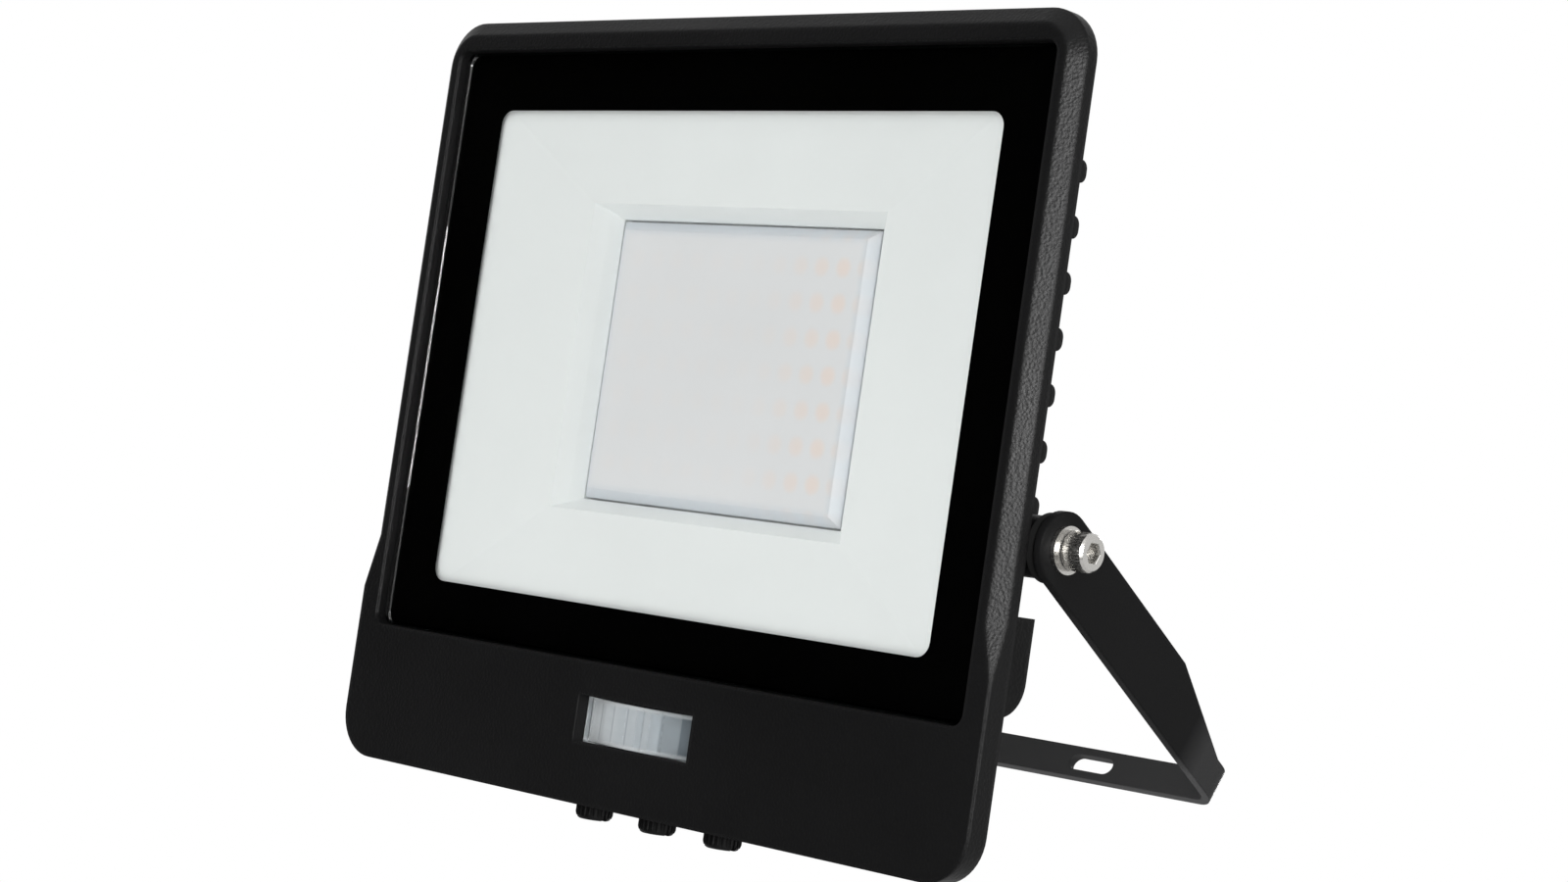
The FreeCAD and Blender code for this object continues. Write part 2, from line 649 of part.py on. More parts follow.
def housing_bosses():
    """Posts under the sensor board, the driver board and the rear cover's upper screws."""
    bosses = [
        rod(BOARD_BOSS_RADIUS, SENSOR_BOARD_FRONT - PANEL_BACK, x, PANEL_BACK, EYE_Z)
        for x in (-BOARD_BOSS_X, BOARD_BOSS_X)
    ]
    bosses += [
        rod(DRIVER_BOSS_RADIUS, DRIVER_STANDOFF, x, TUB_BACK, BUMP_Z)
        for x in (-DRIVER_BOSS_X, DRIVER_BOSS_X)
    ]
    boss_front = COVER_OUTER - SCREW_LENGTH - SCREW_BOSS_RADIUS / 2
    bosses += [
        rod(SCREW_BOSS_RADIUS, BASE_FRONT - boss_front, x, boss_front, UPPER_SCREW_Z)
        for x in (-UPPER_SCREW_X, UPPER_SCREW_X)
    ]
    return bosses


def shaft_hole(x):
    """Hole in the bay's floor for the shaft of one setting knob."""
    hole = rod(SHAFT_RADIUS + SHAFT_CLEARANCE, -2 * TUB_BOTTOM, x, KNOB_Y, 2 * TUB_BOTTOM, Z_AXIS)
    floor = block(x - KNOB_RADIUS, x + KNOB_RADIUS, 0, TUB_BACK, 2 * TUB_BOTTOM, BAY_BOTTOM)
    return hole.common(floor)


def housing_holes():
    """Holes for the pivot bolts, every screw and the knobs' shafts."""
    holes = [ear_hole(-1), ear_hole(1)]
    holes += [screw_hole(x, z, COVER_OUTER, SCREW_LENGTH) for x, z in cover_screw_spots()]
    holes += [screw_hole(x, EYE_Z, SENSOR_BACK, SCREW_LENGTH) for x in (-BOARD_BOSS_X, BOARD_BOSS_X)]
    holes += [
        screw_hole(x, BUMP_Z, DRIVER_BACK, DRIVER_SCREW_LENGTH) for x in (-DRIVER_BOSS_X, DRIVER_BOSS_X)
    ]
    board_hole = SCREW_RADIUS + SCREW_HOLE_CLEARANCE
    holes += [
        prism(board_hole, SCREW_SIDES, BOARD_SCREW_BITE + SCREW_HOLE_CLEARANCE, x, BASE_FRONT, z)
        for x, z in board_screw_spots()
    ]
    return holes + [shaft_hole(x) for _, x in KNOB_SPOTS]


def housing():
    ribs = [rib(RIB_FIRST_Z - RIB_PITCH * i) for i in range(RIB_COUNT)]
    body = flange().fuse([tub(), ear(-1), ear(1)] + ribs)
    body = body.cut([glass_plate(0, -2 * LIP_PROUD, GLASS_SEAT), light_cavity(), sensor_bay()])
    return body.fuse(housing_bosses()).cut(housing_holes()).removeSplitter()


def screw(x, z, head_seat, length):
    """Cross-head screw driven towards the front, with its head on the face at head_seat."""
    shank = prism(SCREW_RADIUS, SCREW_SIDES, length, x, head_seat - length, z)
    top = head_seat + SCREW_HEAD_HEIGHT
    head = frustum(
        polygon_wire(SCREW_HEAD_RADIUS, SCREW_HEAD_SIDES, x, head_seat, z),
        polygon_wire(SCREW_HEAD_RADIUS - SCREW_HEAD_HEIGHT / 4, SCREW_HEAD_SIDES, x, top, z),
    )
    reach = SCREW_HEAD_RADIUS * 0.6
    half = SCREW_CROSS_WIDTH / 2
    low = top - SCREW_CROSS_DEPTH
    for wide, tall in ((reach, half), (half, reach)):
        head = head.cut(block(x - wide, x + wide, low, top, z - tall, z + tall))
    return shank.fuse(head).removeSplitter()


def screw_hole(x, z, head_seat, length):
    depth = length + SCREW_RADIUS / 3
    return prism(SCREW_RADIUS + SCREW_HOLE_CLEARANCE, SCREW_SIDES, depth, x, head_seat - depth, z)


def flipped_screw(x, z, head_seat, length):
    """The same screw driven towards the back, with its head on the front of a board."""
    piece = screw(0, 0, 0, length)
    piece.rotate(vec(0, 0, 0), Z_AXIS, 180)
    piece.translate(vec(x, head_seat, z))
    return piece


def reflector_fold(half_width, half_height, y):
    return rounded_wire(-half_width, half_width, -half_height, half_height, 0, y)


def reflector():
    """White dish that falls in three slopes from the glass to the mouth round the light source."""
    rim_y = GLASS_THICKNESS + REFLECTOR_RIM_GAP
    rim_w = WINDOW_HALF_WIDTH + REFLECTOR_RIM
    rim_h = WINDOW_HALF_HEIGHT + REFLECTOR_RIM
    folds = (
        (rim_w, rim_h, rim_y),
        (STEP_HALF_WIDTH, STEP_HALF_HEIGHT, STEP_DEPTH),
        (LEDGE_HALF_WIDTH, LEDGE_HALF_HEIGHT, LEDGE_DEPTH),
        (MOUTH_HALF_WIDTH, MOUTH_HALF_HEIGHT, MOUTH_DEPTH),
    )
    sheet = REFLECTOR_SHEET
    outer = centred_plate(rim_w + sheet, rim_h + sheet, 0, rim_y, rim_y + sheet)
    neck_start = LEDGE_DEPTH + sheet / 2
    neck = centred_plate(
        MOUTH_HALF_WIDTH + sheet, MOUTH_HALF_HEIGHT + sheet, 0, neck_start, BOARD_FRONT
    )
    slopes = []
    hollows = []
    for first, second in zip(folds, folds[1:]):
        hollows.append(frustum(reflector_fold(*first), reflector_fold(*second)))
        if second[2] < MOUTH_DEPTH:
            slopes.append(
                frustum(
                    reflector_fold(first[0], first[1], first[2] + sheet),
                    reflector_fold(second[0], second[1], second[2] + sheet),
                )
            )
    mouth = centred_plate(MOUTH_HALF_WIDTH, MOUTH_HALF_HEIGHT, 0, MOUTH_DEPTH, BOARD_FRONT)
    return outer.fuse(slopes + [neck]).cut(hollows + [mouth]).removeSplitter()


def cover_shell(inset):
    """Bevelled block of the light source's cover, drawn in by the inset."""
    shoulder = COVER_FRONT + COVER_BEVEL
    base = (COVER_HALF_WIDTH - inset, COVER_HALF_HEIGHT - inset)
    front = (base[0] - COVER_BEVEL, base[1] - COVER_BEVEL)
    walls = centred_plate(*base, 0, shoulder + inset, BOARD_FRONT)
    bevel = frustum(
        reflector_fold(*front, COVER_FRONT + inset), reflector_fold(*base, shoulder + inset)
    )
    return walls.fuse(bevel)


def led_cover():
    return cover_shell(0).cut(cover_shell(COVER_WALL)).removeSplitter()


def led_board():
    board = centred_plate(BOARD_HALF_WIDTH, BOARD_HALF_HEIGHT, 0, BOARD_FRONT, BASE_FRONT)
    radius = SCREW_RADIUS + SCREW_HOLE_CLEARANCE
    holes = [
        prism(radius, SCREW_SIDES, BOARD_THICKNESS, x, BOARD_FRONT, z) for x, z in board_screw_spots()
    ]
    return board.cut(holes)


def led_chips():
    chips = []
    for column in range(CHIP_COLUMNS):
        for row in range(CHIP_ROWS):
            x = (column - (CHIP_COLUMNS - 1) / 2) * CHIP_PITCH_X
            z = (row - (CHIP_ROWS - 1) / 2) * CHIP_PITCH_Z
            chips.append(
                block(
                    x - CHIP_WIDTH / 2,
                    x + CHIP_WIDTH / 2,
                    BOARD_FRONT - CHIP_THICKNESS,
                    BOARD_FRONT,
                    z - CHIP_HEIGHT / 2,
                    z + CHIP_HEIGHT / 2,
                )
            )
    return Part.makeCompound(chips)


def save_light_pieces():
    save_head("front_glass", glass_plate(GLASS_EDGE_GAP, 0, GLASS_THICKNESS))
    ring = glass_plate(GLASS_EDGE_GAP, GLASS_THICKNESS, GLASS_SEAT)
    opening = glass_plate(GLASS_EDGE_GAP + SEAL_WIDTH, GLASS_THICKNESS, GLASS_SEAT)
    save_head("glass_seal", ring.cut(opening))
    save_head("reflector", reflector())
    save_head("led_cover", led_cover())
    save_head("led_board", led_board())
    save_head("led_chips", led_chips())
    length = BOARD_THICKNESS + BOARD_SCREW_BITE
    screws = [flipped_screw(x, z, BOARD_FRONT, length) for x, z in board_screw_spots()]
    save_head("board_screws", Part.makeCompound(screws))


def lens_block(radius, half_width, half_height, back):
    """Part of an upright cylinder whose crown faces forwards."""
    crown = -LIP_PROUD + LENS_RECESS
    axis_y = crown + LENS_RADIUS
    low = EYE_Z - half_height
    drum = rod(radius, 2 * half_height, 0, axis_y, low, Z_AXIS)
    return drum.common(block(-half_width, half_width, -LENS_RADIUS, back, low, low + 2 * half_height))


def pir_lens():
    half_width = EYE_HALF_WIDTH - EYE_GAP
    half_height = EYE_HALF_HEIGHT - EYE_GAP
    back = PANEL_BACK + LENS_FLANGE_THICKNESS
    crown = lens_block(LENS_RADIUS, half_width, half_height, back)
    rim = centred_plate(
        half_width + LENS_FLANGE, half_height + LENS_FLANGE, 0, PANEL_BACK, back, EYE_Z
    )
    hollow = lens_block(
        LENS_RADIUS - LENS_WALL, half_width - LENS_WALL, half_height - LENS_WALL, back
    )
    return crown.fuse(rim).cut(hollow).removeSplitter()


def pir_holder():
    lens_half = EYE_HALF_WIDTH - EYE_GAP + LENS_FLANGE + HOLDER_GAP
    lens_tall = EYE_HALF_HEIGHT - EYE_GAP + LENS_FLANGE + HOLDER_GAP
    back = PANEL_BACK + HOLDER_DEPTH
    seat = PANEL_BACK + LENS_FLANGE_THICKNESS
    holder = centred_plate(
        lens_half + HOLDER_WALL, lens_tall + HOLDER_GAP, 0, PANEL_BACK, back, EYE_Z
    )
    pocket = centred_plate(lens_half, lens_tall, 0, PANEL_BACK, seat, EYE_Z)
    window = centred_plate(
        EYE_HALF_WIDTH - LENS_FLANGE, EYE_HALF_HEIGHT - LENS_WALL, 0, PANEL_BACK, back, EYE_Z
    )
    return holder.cut([pocket, window]).removeSplitter()


def pyro_sensor():
    front = SENSOR_BOARD_FRONT - PYRO_HEIGHT
    can = rod(PYRO_RADIUS, PYRO_HEIGHT, 0, front, EYE_Z)
    half = PYRO_RADIUS / 2
    window = block(-half, half, front, front + PYRO_HEIGHT / 10, EYE_Z - half, EYE_Z + half)
    return can.cut(window)


def sensor_board():
    board = plate(
        -SENSOR_BOARD_HALF_WIDTH,
        SENSOR_BOARD_HALF_WIDTH,
        BAY_BOTTOM + SENSOR_BOARD_MARGIN,
        BAY_TOP - SENSOR_BOARD_MARGIN,
        0,
        SENSOR_BOARD_FRONT,
        SENSOR_BACK,
    )
    holes = [
        screw_hole(x, EYE_Z, SENSOR_BACK, SCREW_LENGTH) for x in (-BOARD_BOSS_X, BOARD_BOSS_X)
    ]
    return board.cut(holes)


def setting_pot(x):
    """Rotary setting on the sensor board, with a blind bore for the knob's shaft."""
    half = POT_HALF_WIDTH
    top = POT_BOTTOM + POT_HEIGHT
    body = block(x - half, x + half, KNOB_Y - half, SENSOR_BOARD_FRONT, POT_BOTTOM, top)
    bore_depth = POT_HEIGHT - SHAFT_TIP_GAP
    return body.cut(rod(SHAFT_RADIUS + SHAFT_CLEARANCE, bore_depth, x, KNOB_Y, POT_BOTTOM, Z_AXIS))


def knob(x):
    cap = prism(KNOB_RADIUS, KNOB_FLUTES, KNOB_LENGTH, 0, 0, 0)
    cap.rotate(vec(0, 0, 0), X_AXIS, 90)
    cap.translate(vec(x, KNOB_Y, KNOB_END))
    half = KNOB_SLOT_WIDTH / 2
    cut = block(
        x - KNOB_RADIUS,
        x + KNOB_RADIUS,
        KNOB_Y - half,
        KNOB_Y + half,
        KNOB_END,
        KNOB_END + KNOB_SLOT_DEPTH,
    )
    tip = POT_BOTTOM + POT_HEIGHT - 2 * SHAFT_TIP_GAP
    shaft = rod(SHAFT_RADIUS, tip - KNOB_TOP, x, KNOB_Y, KNOB_TOP, Z_AXIS)
    return cap.cut(cut).fuse(shaft).removeSplitter()


def shaft_seal():
    """One rubber strip under the rotary settings, with a hole for each knob's shaft."""
    half = KNOB_PITCH + POT_HALF_WIDTH
    deep = SHAFT_RADIUS + KNOB_SEAL_MARGIN - SHAFT_CLEARANCE
    strip = block(-half, half, KNOB_Y - deep, KNOB_Y + deep, BAY_BOTTOM, POT_BOTTOM)
    bore = SHAFT_RADIUS + SHAFT_CLEARANCE
    return strip.cut(
        [rod(bore, KNOB_SEAL_THICKNESS, x, KNOB_Y, BAY_BOTTOM, Z_AXIS) for _, x in KNOB_SPOTS]
    )


def save_sensor_pieces():
    save_head("pir_lens", pir_lens())
    save_head("pir_holder", pir_holder())
    save_head("pyro_sensor", pyro_sensor())
    save_head("sensor_board", sensor_board())
    spots = (-BOARD_BOSS_X, BOARD_BOSS_X)
    screws = [screw(x, EYE_Z, SENSOR_BACK, SCREW_LENGTH) for x in spots]
    save_head("sensor_board_screws", Part.makeCompound(screws))
    for name, x in KNOB_SPOTS:
        save_head("knob_" + name, knob(x))
        save_head("pot_" + name, setting_pot(x))
    save_head("shaft_seal", shaft_seal())


def bump(inset, front):
    """Raised part of the rear cover, drawn in by the inset."""
    half = BUMP_HALF_WIDTH - inset
    back = BUMP_BACK - inset
    low = BUMP_BOTTOM + inset
    body = block(-half, half, front, back, low, BUMP_TOP - inset)
    lower_edge = edges_at(body, lambda p: near(p.y, back) and near(p.z, low))
    return body.makeFillet(BUMP_BOTTOM_ROUNDING - inset, lower_edge)


def rear_cover():
    cover = plate(
        -COVER_PLATE_HALF_WIDTH,
        COVER_PLATE_HALF_WIDTH,
        COVER_PLATE_BOTTOM,
        COVER_PLATE_TOP,
        COVER_PLATE_CORNER,
        COVER_SEAT,
        COVER_OUTER,
    )
    cover = cover.fuse(bump(0, COVER_SEAT)).cut(bump(BUMP_WALL, COVER_SEAT))
    radius = SCREW_RADIUS + SCREW_HOLE_CLEARANCE
    holes = [
        prism(radius, SCREW_SIDES, COVER_PLATE_THICKNESS, x, COVER_SEAT, z)
        for x, z in cover_screw_spots()
    ]
    holes.append(rod(GLAND_BARREL_RADIUS + GLAND_THREAD_GAP, 2 * BUMP_WALL, 0, BUMP_INNER, GLAND_Z))
    stem_gap = VENT_STEM_RADIUS + GLAND_THREAD_GAP
    holes.append(rod(stem_gap, COVER_PLATE_THICKNESS, VENT_X, COVER_SEAT, VENT_Z))
    return cover.cut(holes).removeSplitter()


def rear_cover_seal():
    """Flat ring just inside the cover's edge, in front of its screws' heads."""
    half = COVER_PLATE_HALF_WIDTH - COVER_SEAL_INSET
    low = COVER_PLATE_BOTTOM + COVER_SEAL_INSET
    high = COVER_PLATE_TOP - COVER_SEAL_INSET
    width = COVER_SEAL_WIDTH
    corner = COVER_PLATE_CORNER
    ring = plate(-half, half, low, high, corner, TUB_BACK, COVER_SEAT)
    low += width
    high -= width
    return ring.cut(plate(width - half, half - width, low, high, corner - width, TUB_BACK, COVER_SEAT))


def vent_plug():
    stem = rod(VENT_STEM_RADIUS, COVER_PLATE_THICKNESS, VENT_X, COVER_SEAT, VENT_Z)
    return stem.fuse(rod(VENT_RADIUS, VENT_PROUD, VENT_X, COVER_OUTER, VENT_Z)).removeSplitter()


def save_cover_pieces():
    save_head("rear_cover", rear_cover())
    save_head("rear_cover_seal", rear_cover_seal())
    screws = [screw(x, z, COVER_OUTER, SCREW_LENGTH) for x, z in cover_screw_spots()]
    save_head("rear_cover_screws", Part.makeCompound(screws))
    save_head("vent_plug", vent_plug())


def driver_board():
    board = centred_plate(
        DRIVER_HALF_WIDTH, DRIVER_HALF_HEIGHT, 0, DRIVER_FRONT, DRIVER_BACK, BUMP_Z
    )
    holes = [
        screw_hole(x, BUMP_Z, DRIVER_BACK, DRIVER_SCREW_LENGTH) for x in (-DRIVER_BOSS_X, DRIVER_BOSS_X)
    ]
    return board.cut(holes)


def terminal_block():
    body = block(
        TERMINAL_X - TERMINAL_HALF_WIDTH,
        TERMINAL_X + TERMINAL_HALF_WIDTH,
        DRIVER_BACK,
        DRIVER_BACK + TERMINAL_DEPTH,
        BUMP_Z - TERMINAL_HALF_HEIGHT,
        BUMP_Z + TERMINAL_HALF_HEIGHT,
    )
    pitch = 2 * TERMINAL_HALF_WIDTH / TERMINAL_HOLES
    low = BUMP_Z - TERMINAL_HALF_HEIGHT
    high = BUMP_Z + TERMINAL_HALF_HEIGHT
    middle = DRIVER_BACK + TERMINAL_DEPTH / 2
    half = TERMINAL_HOLE_HALF
    holes = []
    for index in range(TERMINAL_HOLES):
        x = TERMINAL_X + (index - (TERMINAL_HOLES - 1) / 2) * pitch
        holes.append(block(x - half, x + half, middle - half, middle + half, low, high))
    return body.cut(holes)


def save_driver_pieces():
    save_head("driver_board", driver_board())
    spots = (-DRIVER_BOSS_X, DRIVER_BOSS_X)
    screws = [screw(x, BUMP_Z, DRIVER_BACK, DRIVER_SCREW_LENGTH) for x in spots]
    save_head("driver_screws", Part.makeCompound(screws))
    save_head("terminal_block", terminal_block())
    start = CAPACITOR_X - CAPACITOR_LENGTH / 2
    can = rod(CAPACITOR_RADIUS, CAPACITOR_LENGTH, start, DRIVER_BACK + CAPACITOR_RADIUS, BUMP_Z, X_AXIS)
    save_head("driver_capacitor", can)


def gland_body():
    hex_end = BUMP_BACK + GLAND_HEX_THICKNESS
    barrel_start = BUMP_BACK - GLAND_INNER_LENGTH
    barrel_end = hex_end + GLAND_BARREL_LENGTH
    body = prism(GLAND_HEX_RADIUS, 6, GLAND_HEX_THICKNESS, 0, BUMP_BACK, GLAND_Z)
    body = body.fuse(rod(GLAND_BARREL_RADIUS, barrel_end - barrel_start, 0, barrel_start, GLAND_Z))
    body = body.cut(rod(GLAND_BORE_RADIUS, barrel_end - barrel_start, 0, barrel_start, GLAND_Z))
    cup = GLAND_SEAL_BORE_RADIUS + GLAND_SEAL_WALL
    seal_start = barrel_end - GLAND_SEAL_LENGTH
    return body.cut(rod(cup, GLAND_SEAL_LENGTH, 0, seal_start, GLAND_Z)).removeSplitter()


def gland_cap():
    start = BUMP_BACK + GLAND_HEX_THICKNESS + GLAND_CAP_GAP
    end = start + GLAND_CAP_LENGTH
    thread_end = BUMP_BACK + GLAND_HEX_THICKNESS + GLAND_BARREL_LENGTH + 2 * GLAND_SEAL_PROUD
    taper = GLAND_MOUTH_TAPER
    cap = prism(GLAND_CAP_RADIUS, 6, GLAND_CAP_LENGTH - 2 * taper, 0, start, GLAND_Z)
    cone_base = GLAND_CAP_RADIUS * math.cos(math.radians(30))
    cone = Part.makeCone(
        cone_base, cone_base - taper, 2 * taper, vec(0, end - 2 * taper, GLAND_Z), Y_AXIS
    )
    cap = cap.fuse(cone)
    thread = rod(GLAND_BARREL_RADIUS + GLAND_THREAD_GAP, thread_end - start, 0, start, GLAND_Z)
    return cap.cut([thread, rod(GLAND_MOUTH_RADIUS, end - start, 0, start, GLAND_Z)]).removeSplitter()


def save_gland_pieces():
    save_head("gland_body", gland_body())
    save_head("gland_cap", gland_cap())
    barrel_end = BUMP_BACK + GLAND_HEX_THICKNESS + GLAND_BARREL_LENGTH
    outer = GLAND_SEAL_BORE_RADIUS + GLAND_SEAL_WALL
    length = GLAND_SEAL_LENGTH + GLAND_SEAL_PROUD
    seal_start = barrel_end - GLAND_SEAL_LENGTH
    save_head("gland_seal", tube(outer, GLAND_SEAL_BORE_RADIUS, length, 0, seal_start, GLAND_Z))
    nut_start = BUMP_INNER - GLAND_NUT_THICKNESS
    nut = prism(GLAND_HEX_RADIUS, 6, GLAND_NUT_THICKNESS, 0, nut_start, GLAND_Z)
    hole = rod(GLAND_BARREL_RADIUS + GLAND_THREAD_GAP, GLAND_NUT_THICKNESS, 0, nut_start, GLAND_Z)
    save_head("gland_nut", nut.cut(hole))


os.makedirs("parts", exist_ok=True)
save("mounting_bracket", mounting_bracket())
save_head("housing", housing())
save_pivot_pieces()
save_light_pieces()
save_sensor_pieces()
save_cover_pieces()
save_driver_pieces()
save_gland_pieces()
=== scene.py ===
"""Slim outdoor floodlight with a motion sensor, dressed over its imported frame. Lengths are in metres."""

import json
import math

import bmesh
import bpy
from mathutils import Matrix, Vector


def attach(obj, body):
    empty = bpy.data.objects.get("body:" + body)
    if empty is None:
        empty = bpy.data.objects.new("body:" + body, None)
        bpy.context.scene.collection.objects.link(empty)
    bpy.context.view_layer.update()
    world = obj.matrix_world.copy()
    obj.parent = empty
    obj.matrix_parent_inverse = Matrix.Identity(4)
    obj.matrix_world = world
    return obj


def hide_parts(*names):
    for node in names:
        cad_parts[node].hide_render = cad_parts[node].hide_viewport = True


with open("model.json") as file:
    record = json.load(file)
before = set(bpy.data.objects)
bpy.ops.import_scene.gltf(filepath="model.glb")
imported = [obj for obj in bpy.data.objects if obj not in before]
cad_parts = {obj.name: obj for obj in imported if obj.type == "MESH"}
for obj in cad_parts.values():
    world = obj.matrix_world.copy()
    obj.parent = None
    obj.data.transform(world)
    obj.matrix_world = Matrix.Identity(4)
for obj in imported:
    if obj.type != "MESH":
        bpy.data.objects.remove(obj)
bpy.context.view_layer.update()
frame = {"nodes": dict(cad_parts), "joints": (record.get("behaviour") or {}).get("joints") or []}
NODES = frame["nodes"]
TILT_JOINT = next(j for j in frame["joints"] if j["name"] == "head_tilt")

bl_info = {
    "name": "Motion Sensor Floodlight",
    "version": (1, 0, 0),
    "blender": (4, 5, 0),
    "location": "View3D > Sidebar > Floodlight",
    "description": "Builds the finishes and fine pieces of a slim floodlight over its packed frame",
    "category": "Object",
}

MM = 0.001

# Head frame: origin at the middle of the lit window on the glass's face, +Y to the back, +Z up.
HEAD_TILT = math.radians(32.0)
PIVOT_IN_HEAD = Vector((0.0, 13.6, -31.5)) * MM
PIVOT = Vector(TILT_JOINT["pos_m"])
HEAD = (
    Matrix.Translation(PIVOT)
    @ Matrix.Rotation(HEAD_TILT, 4, "X")
    @ Matrix.Translation(-PIVOT_IN_HEAD)
)

# Camera in the head frame.
CAMERA_SPOT = Vector((506.27, -494.50, -46.58)) * MM
CAMERA_RIGHT = Vector((0.718375, 0.680588, 0.144009))
CAMERA_DOWN = Vector((0.073286, 0.131820, -0.988561))
CAMERA_AHEAD = Vector((-0.691785, 0.720712, 0.044819))

GLASS = {"left": -94.6, "right": 94.6, "low": -70.3, "high": 71.9}
LENS_HALF_WIDTH = 18.1
LENS_DROP = 83.7
EYE_HALVES = (18.4, 5.3)
SCREW_SPOTS = [
    (side * x, 22.7, z) for side in (-1, 1) for x, z in ((70.0, -43.5), (79.2, -72.2), (79.2, -92.5))
]


# Nodes of the finishes


def socket_of(group, name, kind, value=None, output=False):
    made = group.interface.new_socket(
        name=name, in_out="OUTPUT" if output else "INPUT", socket_type="NodeSocket" + kind
    )
    if value is not None:
        made.default_value = value
    return made


def new_group(name, inputs, outputs):
    group = bpy.data.node_groups.new(name, "ShaderNodeTree")
    for item in inputs:
        socket_of(group, *item)
    for label, kind in outputs:
        socket_of(group, label, kind, output=True)
    start = group.nodes.new("NodeGroupInput")
    end = group.nodes.new("NodeGroupOutput")
    return group, start, end


def math_node(tree, operation, first, second, third=None):
    node = tree.nodes.new("ShaderNodeMath")
    node.operation = operation
    for index, value in enumerate((first, second, third)):
        if isinstance(value, bpy.types.NodeSocket):
            tree.links.new(value, node.inputs[index])
        elif value is not None:
            node.inputs[index].default_value = value
    return node.outputs[0]


def grain_group():
    """Fine grain of a coated or moulded surface, with slow cloudy changes of gloss over it."""
    inputs = (
        ("Vector", "Vector"),
        ("Grain Scale", "Float", 2000.0),
        ("Cloud Scale", "Float", 20.0),
        ("Roughness", "Float", 0.5),
        ("Spread", "Float", 0.05),
    )
    outputs = (("Height", "Float"), ("Roughness", "Float"), ("Cloud", "Float"))
    group, start, end = new_group("Grain", inputs, outputs)
    fine = group.nodes.new("ShaderNodeTexNoise")
    fine.inputs["Detail"].default_value = 3.0
    fine.inputs["Roughness"].default_value = 0.6
    cloud = group.nodes.new("ShaderNodeTexNoise")
    cloud.inputs["Detail"].default_value = 4.0
    group.links.new(start.outputs["Vector"], fine.inputs["Vector"])
    group.links.new(start.outputs["Vector"], cloud.inputs["Vector"])
    group.links.new(start.outputs["Grain Scale"], fine.inputs["Scale"])
    group.links.new(start.outputs["Cloud Scale"], cloud.inputs["Scale"])
    centred = math_node(group, "SUBTRACT", cloud.outputs["Fac"], 0.5)
    speck = math_node(group, "SUBTRACT", fine.outputs["Fac"], 0.5)
    both = math_node(group, "MULTIPLY_ADD", speck, 0.6, centred)
    rough = math_node(group, "MULTIPLY_ADD", both, start.outputs["Spread"], start.outputs["Roughness"])
    group.links.new(fine.outputs["Fac"], end.inputs["Height"])
    group.links.new(rough, end.inputs["Roughness"])
    group.links.new(cloud.outputs["Fac"], end.inputs["Cloud"])
    return group


def peel_group():
    """Orange peel of a thick powder coat: rounded cells with grain between them."""
    inputs = (("Vector", "Vector"), ("Cell Scale", "Float", 900.0), ("Grain", "Float", 0.4))
    group, start, end = new_group("Orange Peel", inputs, (("Height", "Float"),))
    cells = group.nodes.new("ShaderNodeTexVoronoi")
    cells.feature = "SMOOTH_F1"
    cells.inputs["Smoothness"].default_value = 0.8
    fine = group.nodes.new("ShaderNodeTexNoise")
    fine.inputs["Detail"].default_value = 2.0
    doubled = math_node(group, "MULTIPLY", start.outputs["Cell Scale"], 2.5)
    for node in (cells, fine):
        group.links.new(start.outputs["Vector"], node.inputs["Vector"])
    group.links.new(start.outputs["Cell Scale"], cells.inputs["Scale"])
    group.links.new(doubled, fine.inputs["Scale"])
    height = math_node(
        group, "MULTIPLY_ADD", fine.outputs["Fac"], start.outputs["Grain"], cells.outputs["Distance"]
    )
    group.links.new(height, end.inputs["Height"])
    return group


def tint_group():
    """Blends two close colours by a mask, so that no surface is one flat colour."""
    inputs = (
        ("Mask", "Float", 0.5),
        ("Dark", "Color", (0.1, 0.1, 0.1, 1.0)),
        ("Light", "Color", (0.2, 0.2, 0.2, 1.0)),
    )
    group, start, end = new_group("Tint", inputs, (("Color", "Color"),))
    ramp = group.nodes.new("ShaderNodeMapRange")
    ramp.inputs["From Min"].default_value = 0.3
    ramp.inputs["From Max"].default_value = 0.7
    mix = group.nodes.new("ShaderNodeMix")
    mix.data_type = "RGBA"
    group.links.new(start.outputs["Mask"], ramp.inputs["Value"])
    group.links.new(ramp.outputs["Result"], mix.inputs["Factor"])
    group.links.new(start.outputs["Dark"], mix.inputs[6])
    group.links.new(start.outputs["Light"], mix.inputs[7])
    group.links.new(mix.outputs[2], end.inputs["Color"])
    return group


def turned_group():
    """Fine marks left by a lathe or a brush, drawn out across one axis."""
    inputs = (("Vector", "Vector"), ("Stretch", "Vector", (4000.0, 300.0, 300.0)))
    group, start, end = new_group("Turned Marks", inputs, (("Height", "Float"),))
    scaled = group.nodes.new("ShaderNodeVectorMath")
    scaled.operation = "MULTIPLY"
    marks = group.nodes.new("ShaderNodeTexNoise")
    marks.inputs["Scale"].default_value = 1.0
    marks.inputs["Detail"].default_value = 3.0
    group.links.new(start.outputs["Vector"], scaled.inputs[0])
    group.links.new(start.outputs["Stretch"], scaled.inputs[1])
    group.links.new(scaled.outputs["Vector"], marks.inputs["Vector"])
    group.links.new(marks.outputs["Fac"], end.inputs["Height"])
    return group


GROUPS = {}


def group_node(tree, name, **values):
    if name not in GROUPS:
        makers = {
            "Grain": grain_group,
            "Orange Peel": peel_group,
            "Tint": tint_group,
            "Turned Marks": turned_group,
        }
        GROUPS[name] = makers[name]()
    node = tree.nodes.new("ShaderNodeGroup")
    node.node_tree = GROUPS[name]
    for key, value in values.items():
        socket = node.inputs[key.replace("_", " ")]
        if isinstance(value, bpy.types.NodeSocket):
            tree.links.new(value, socket)
        else:
            socket.default_value = value
    return node


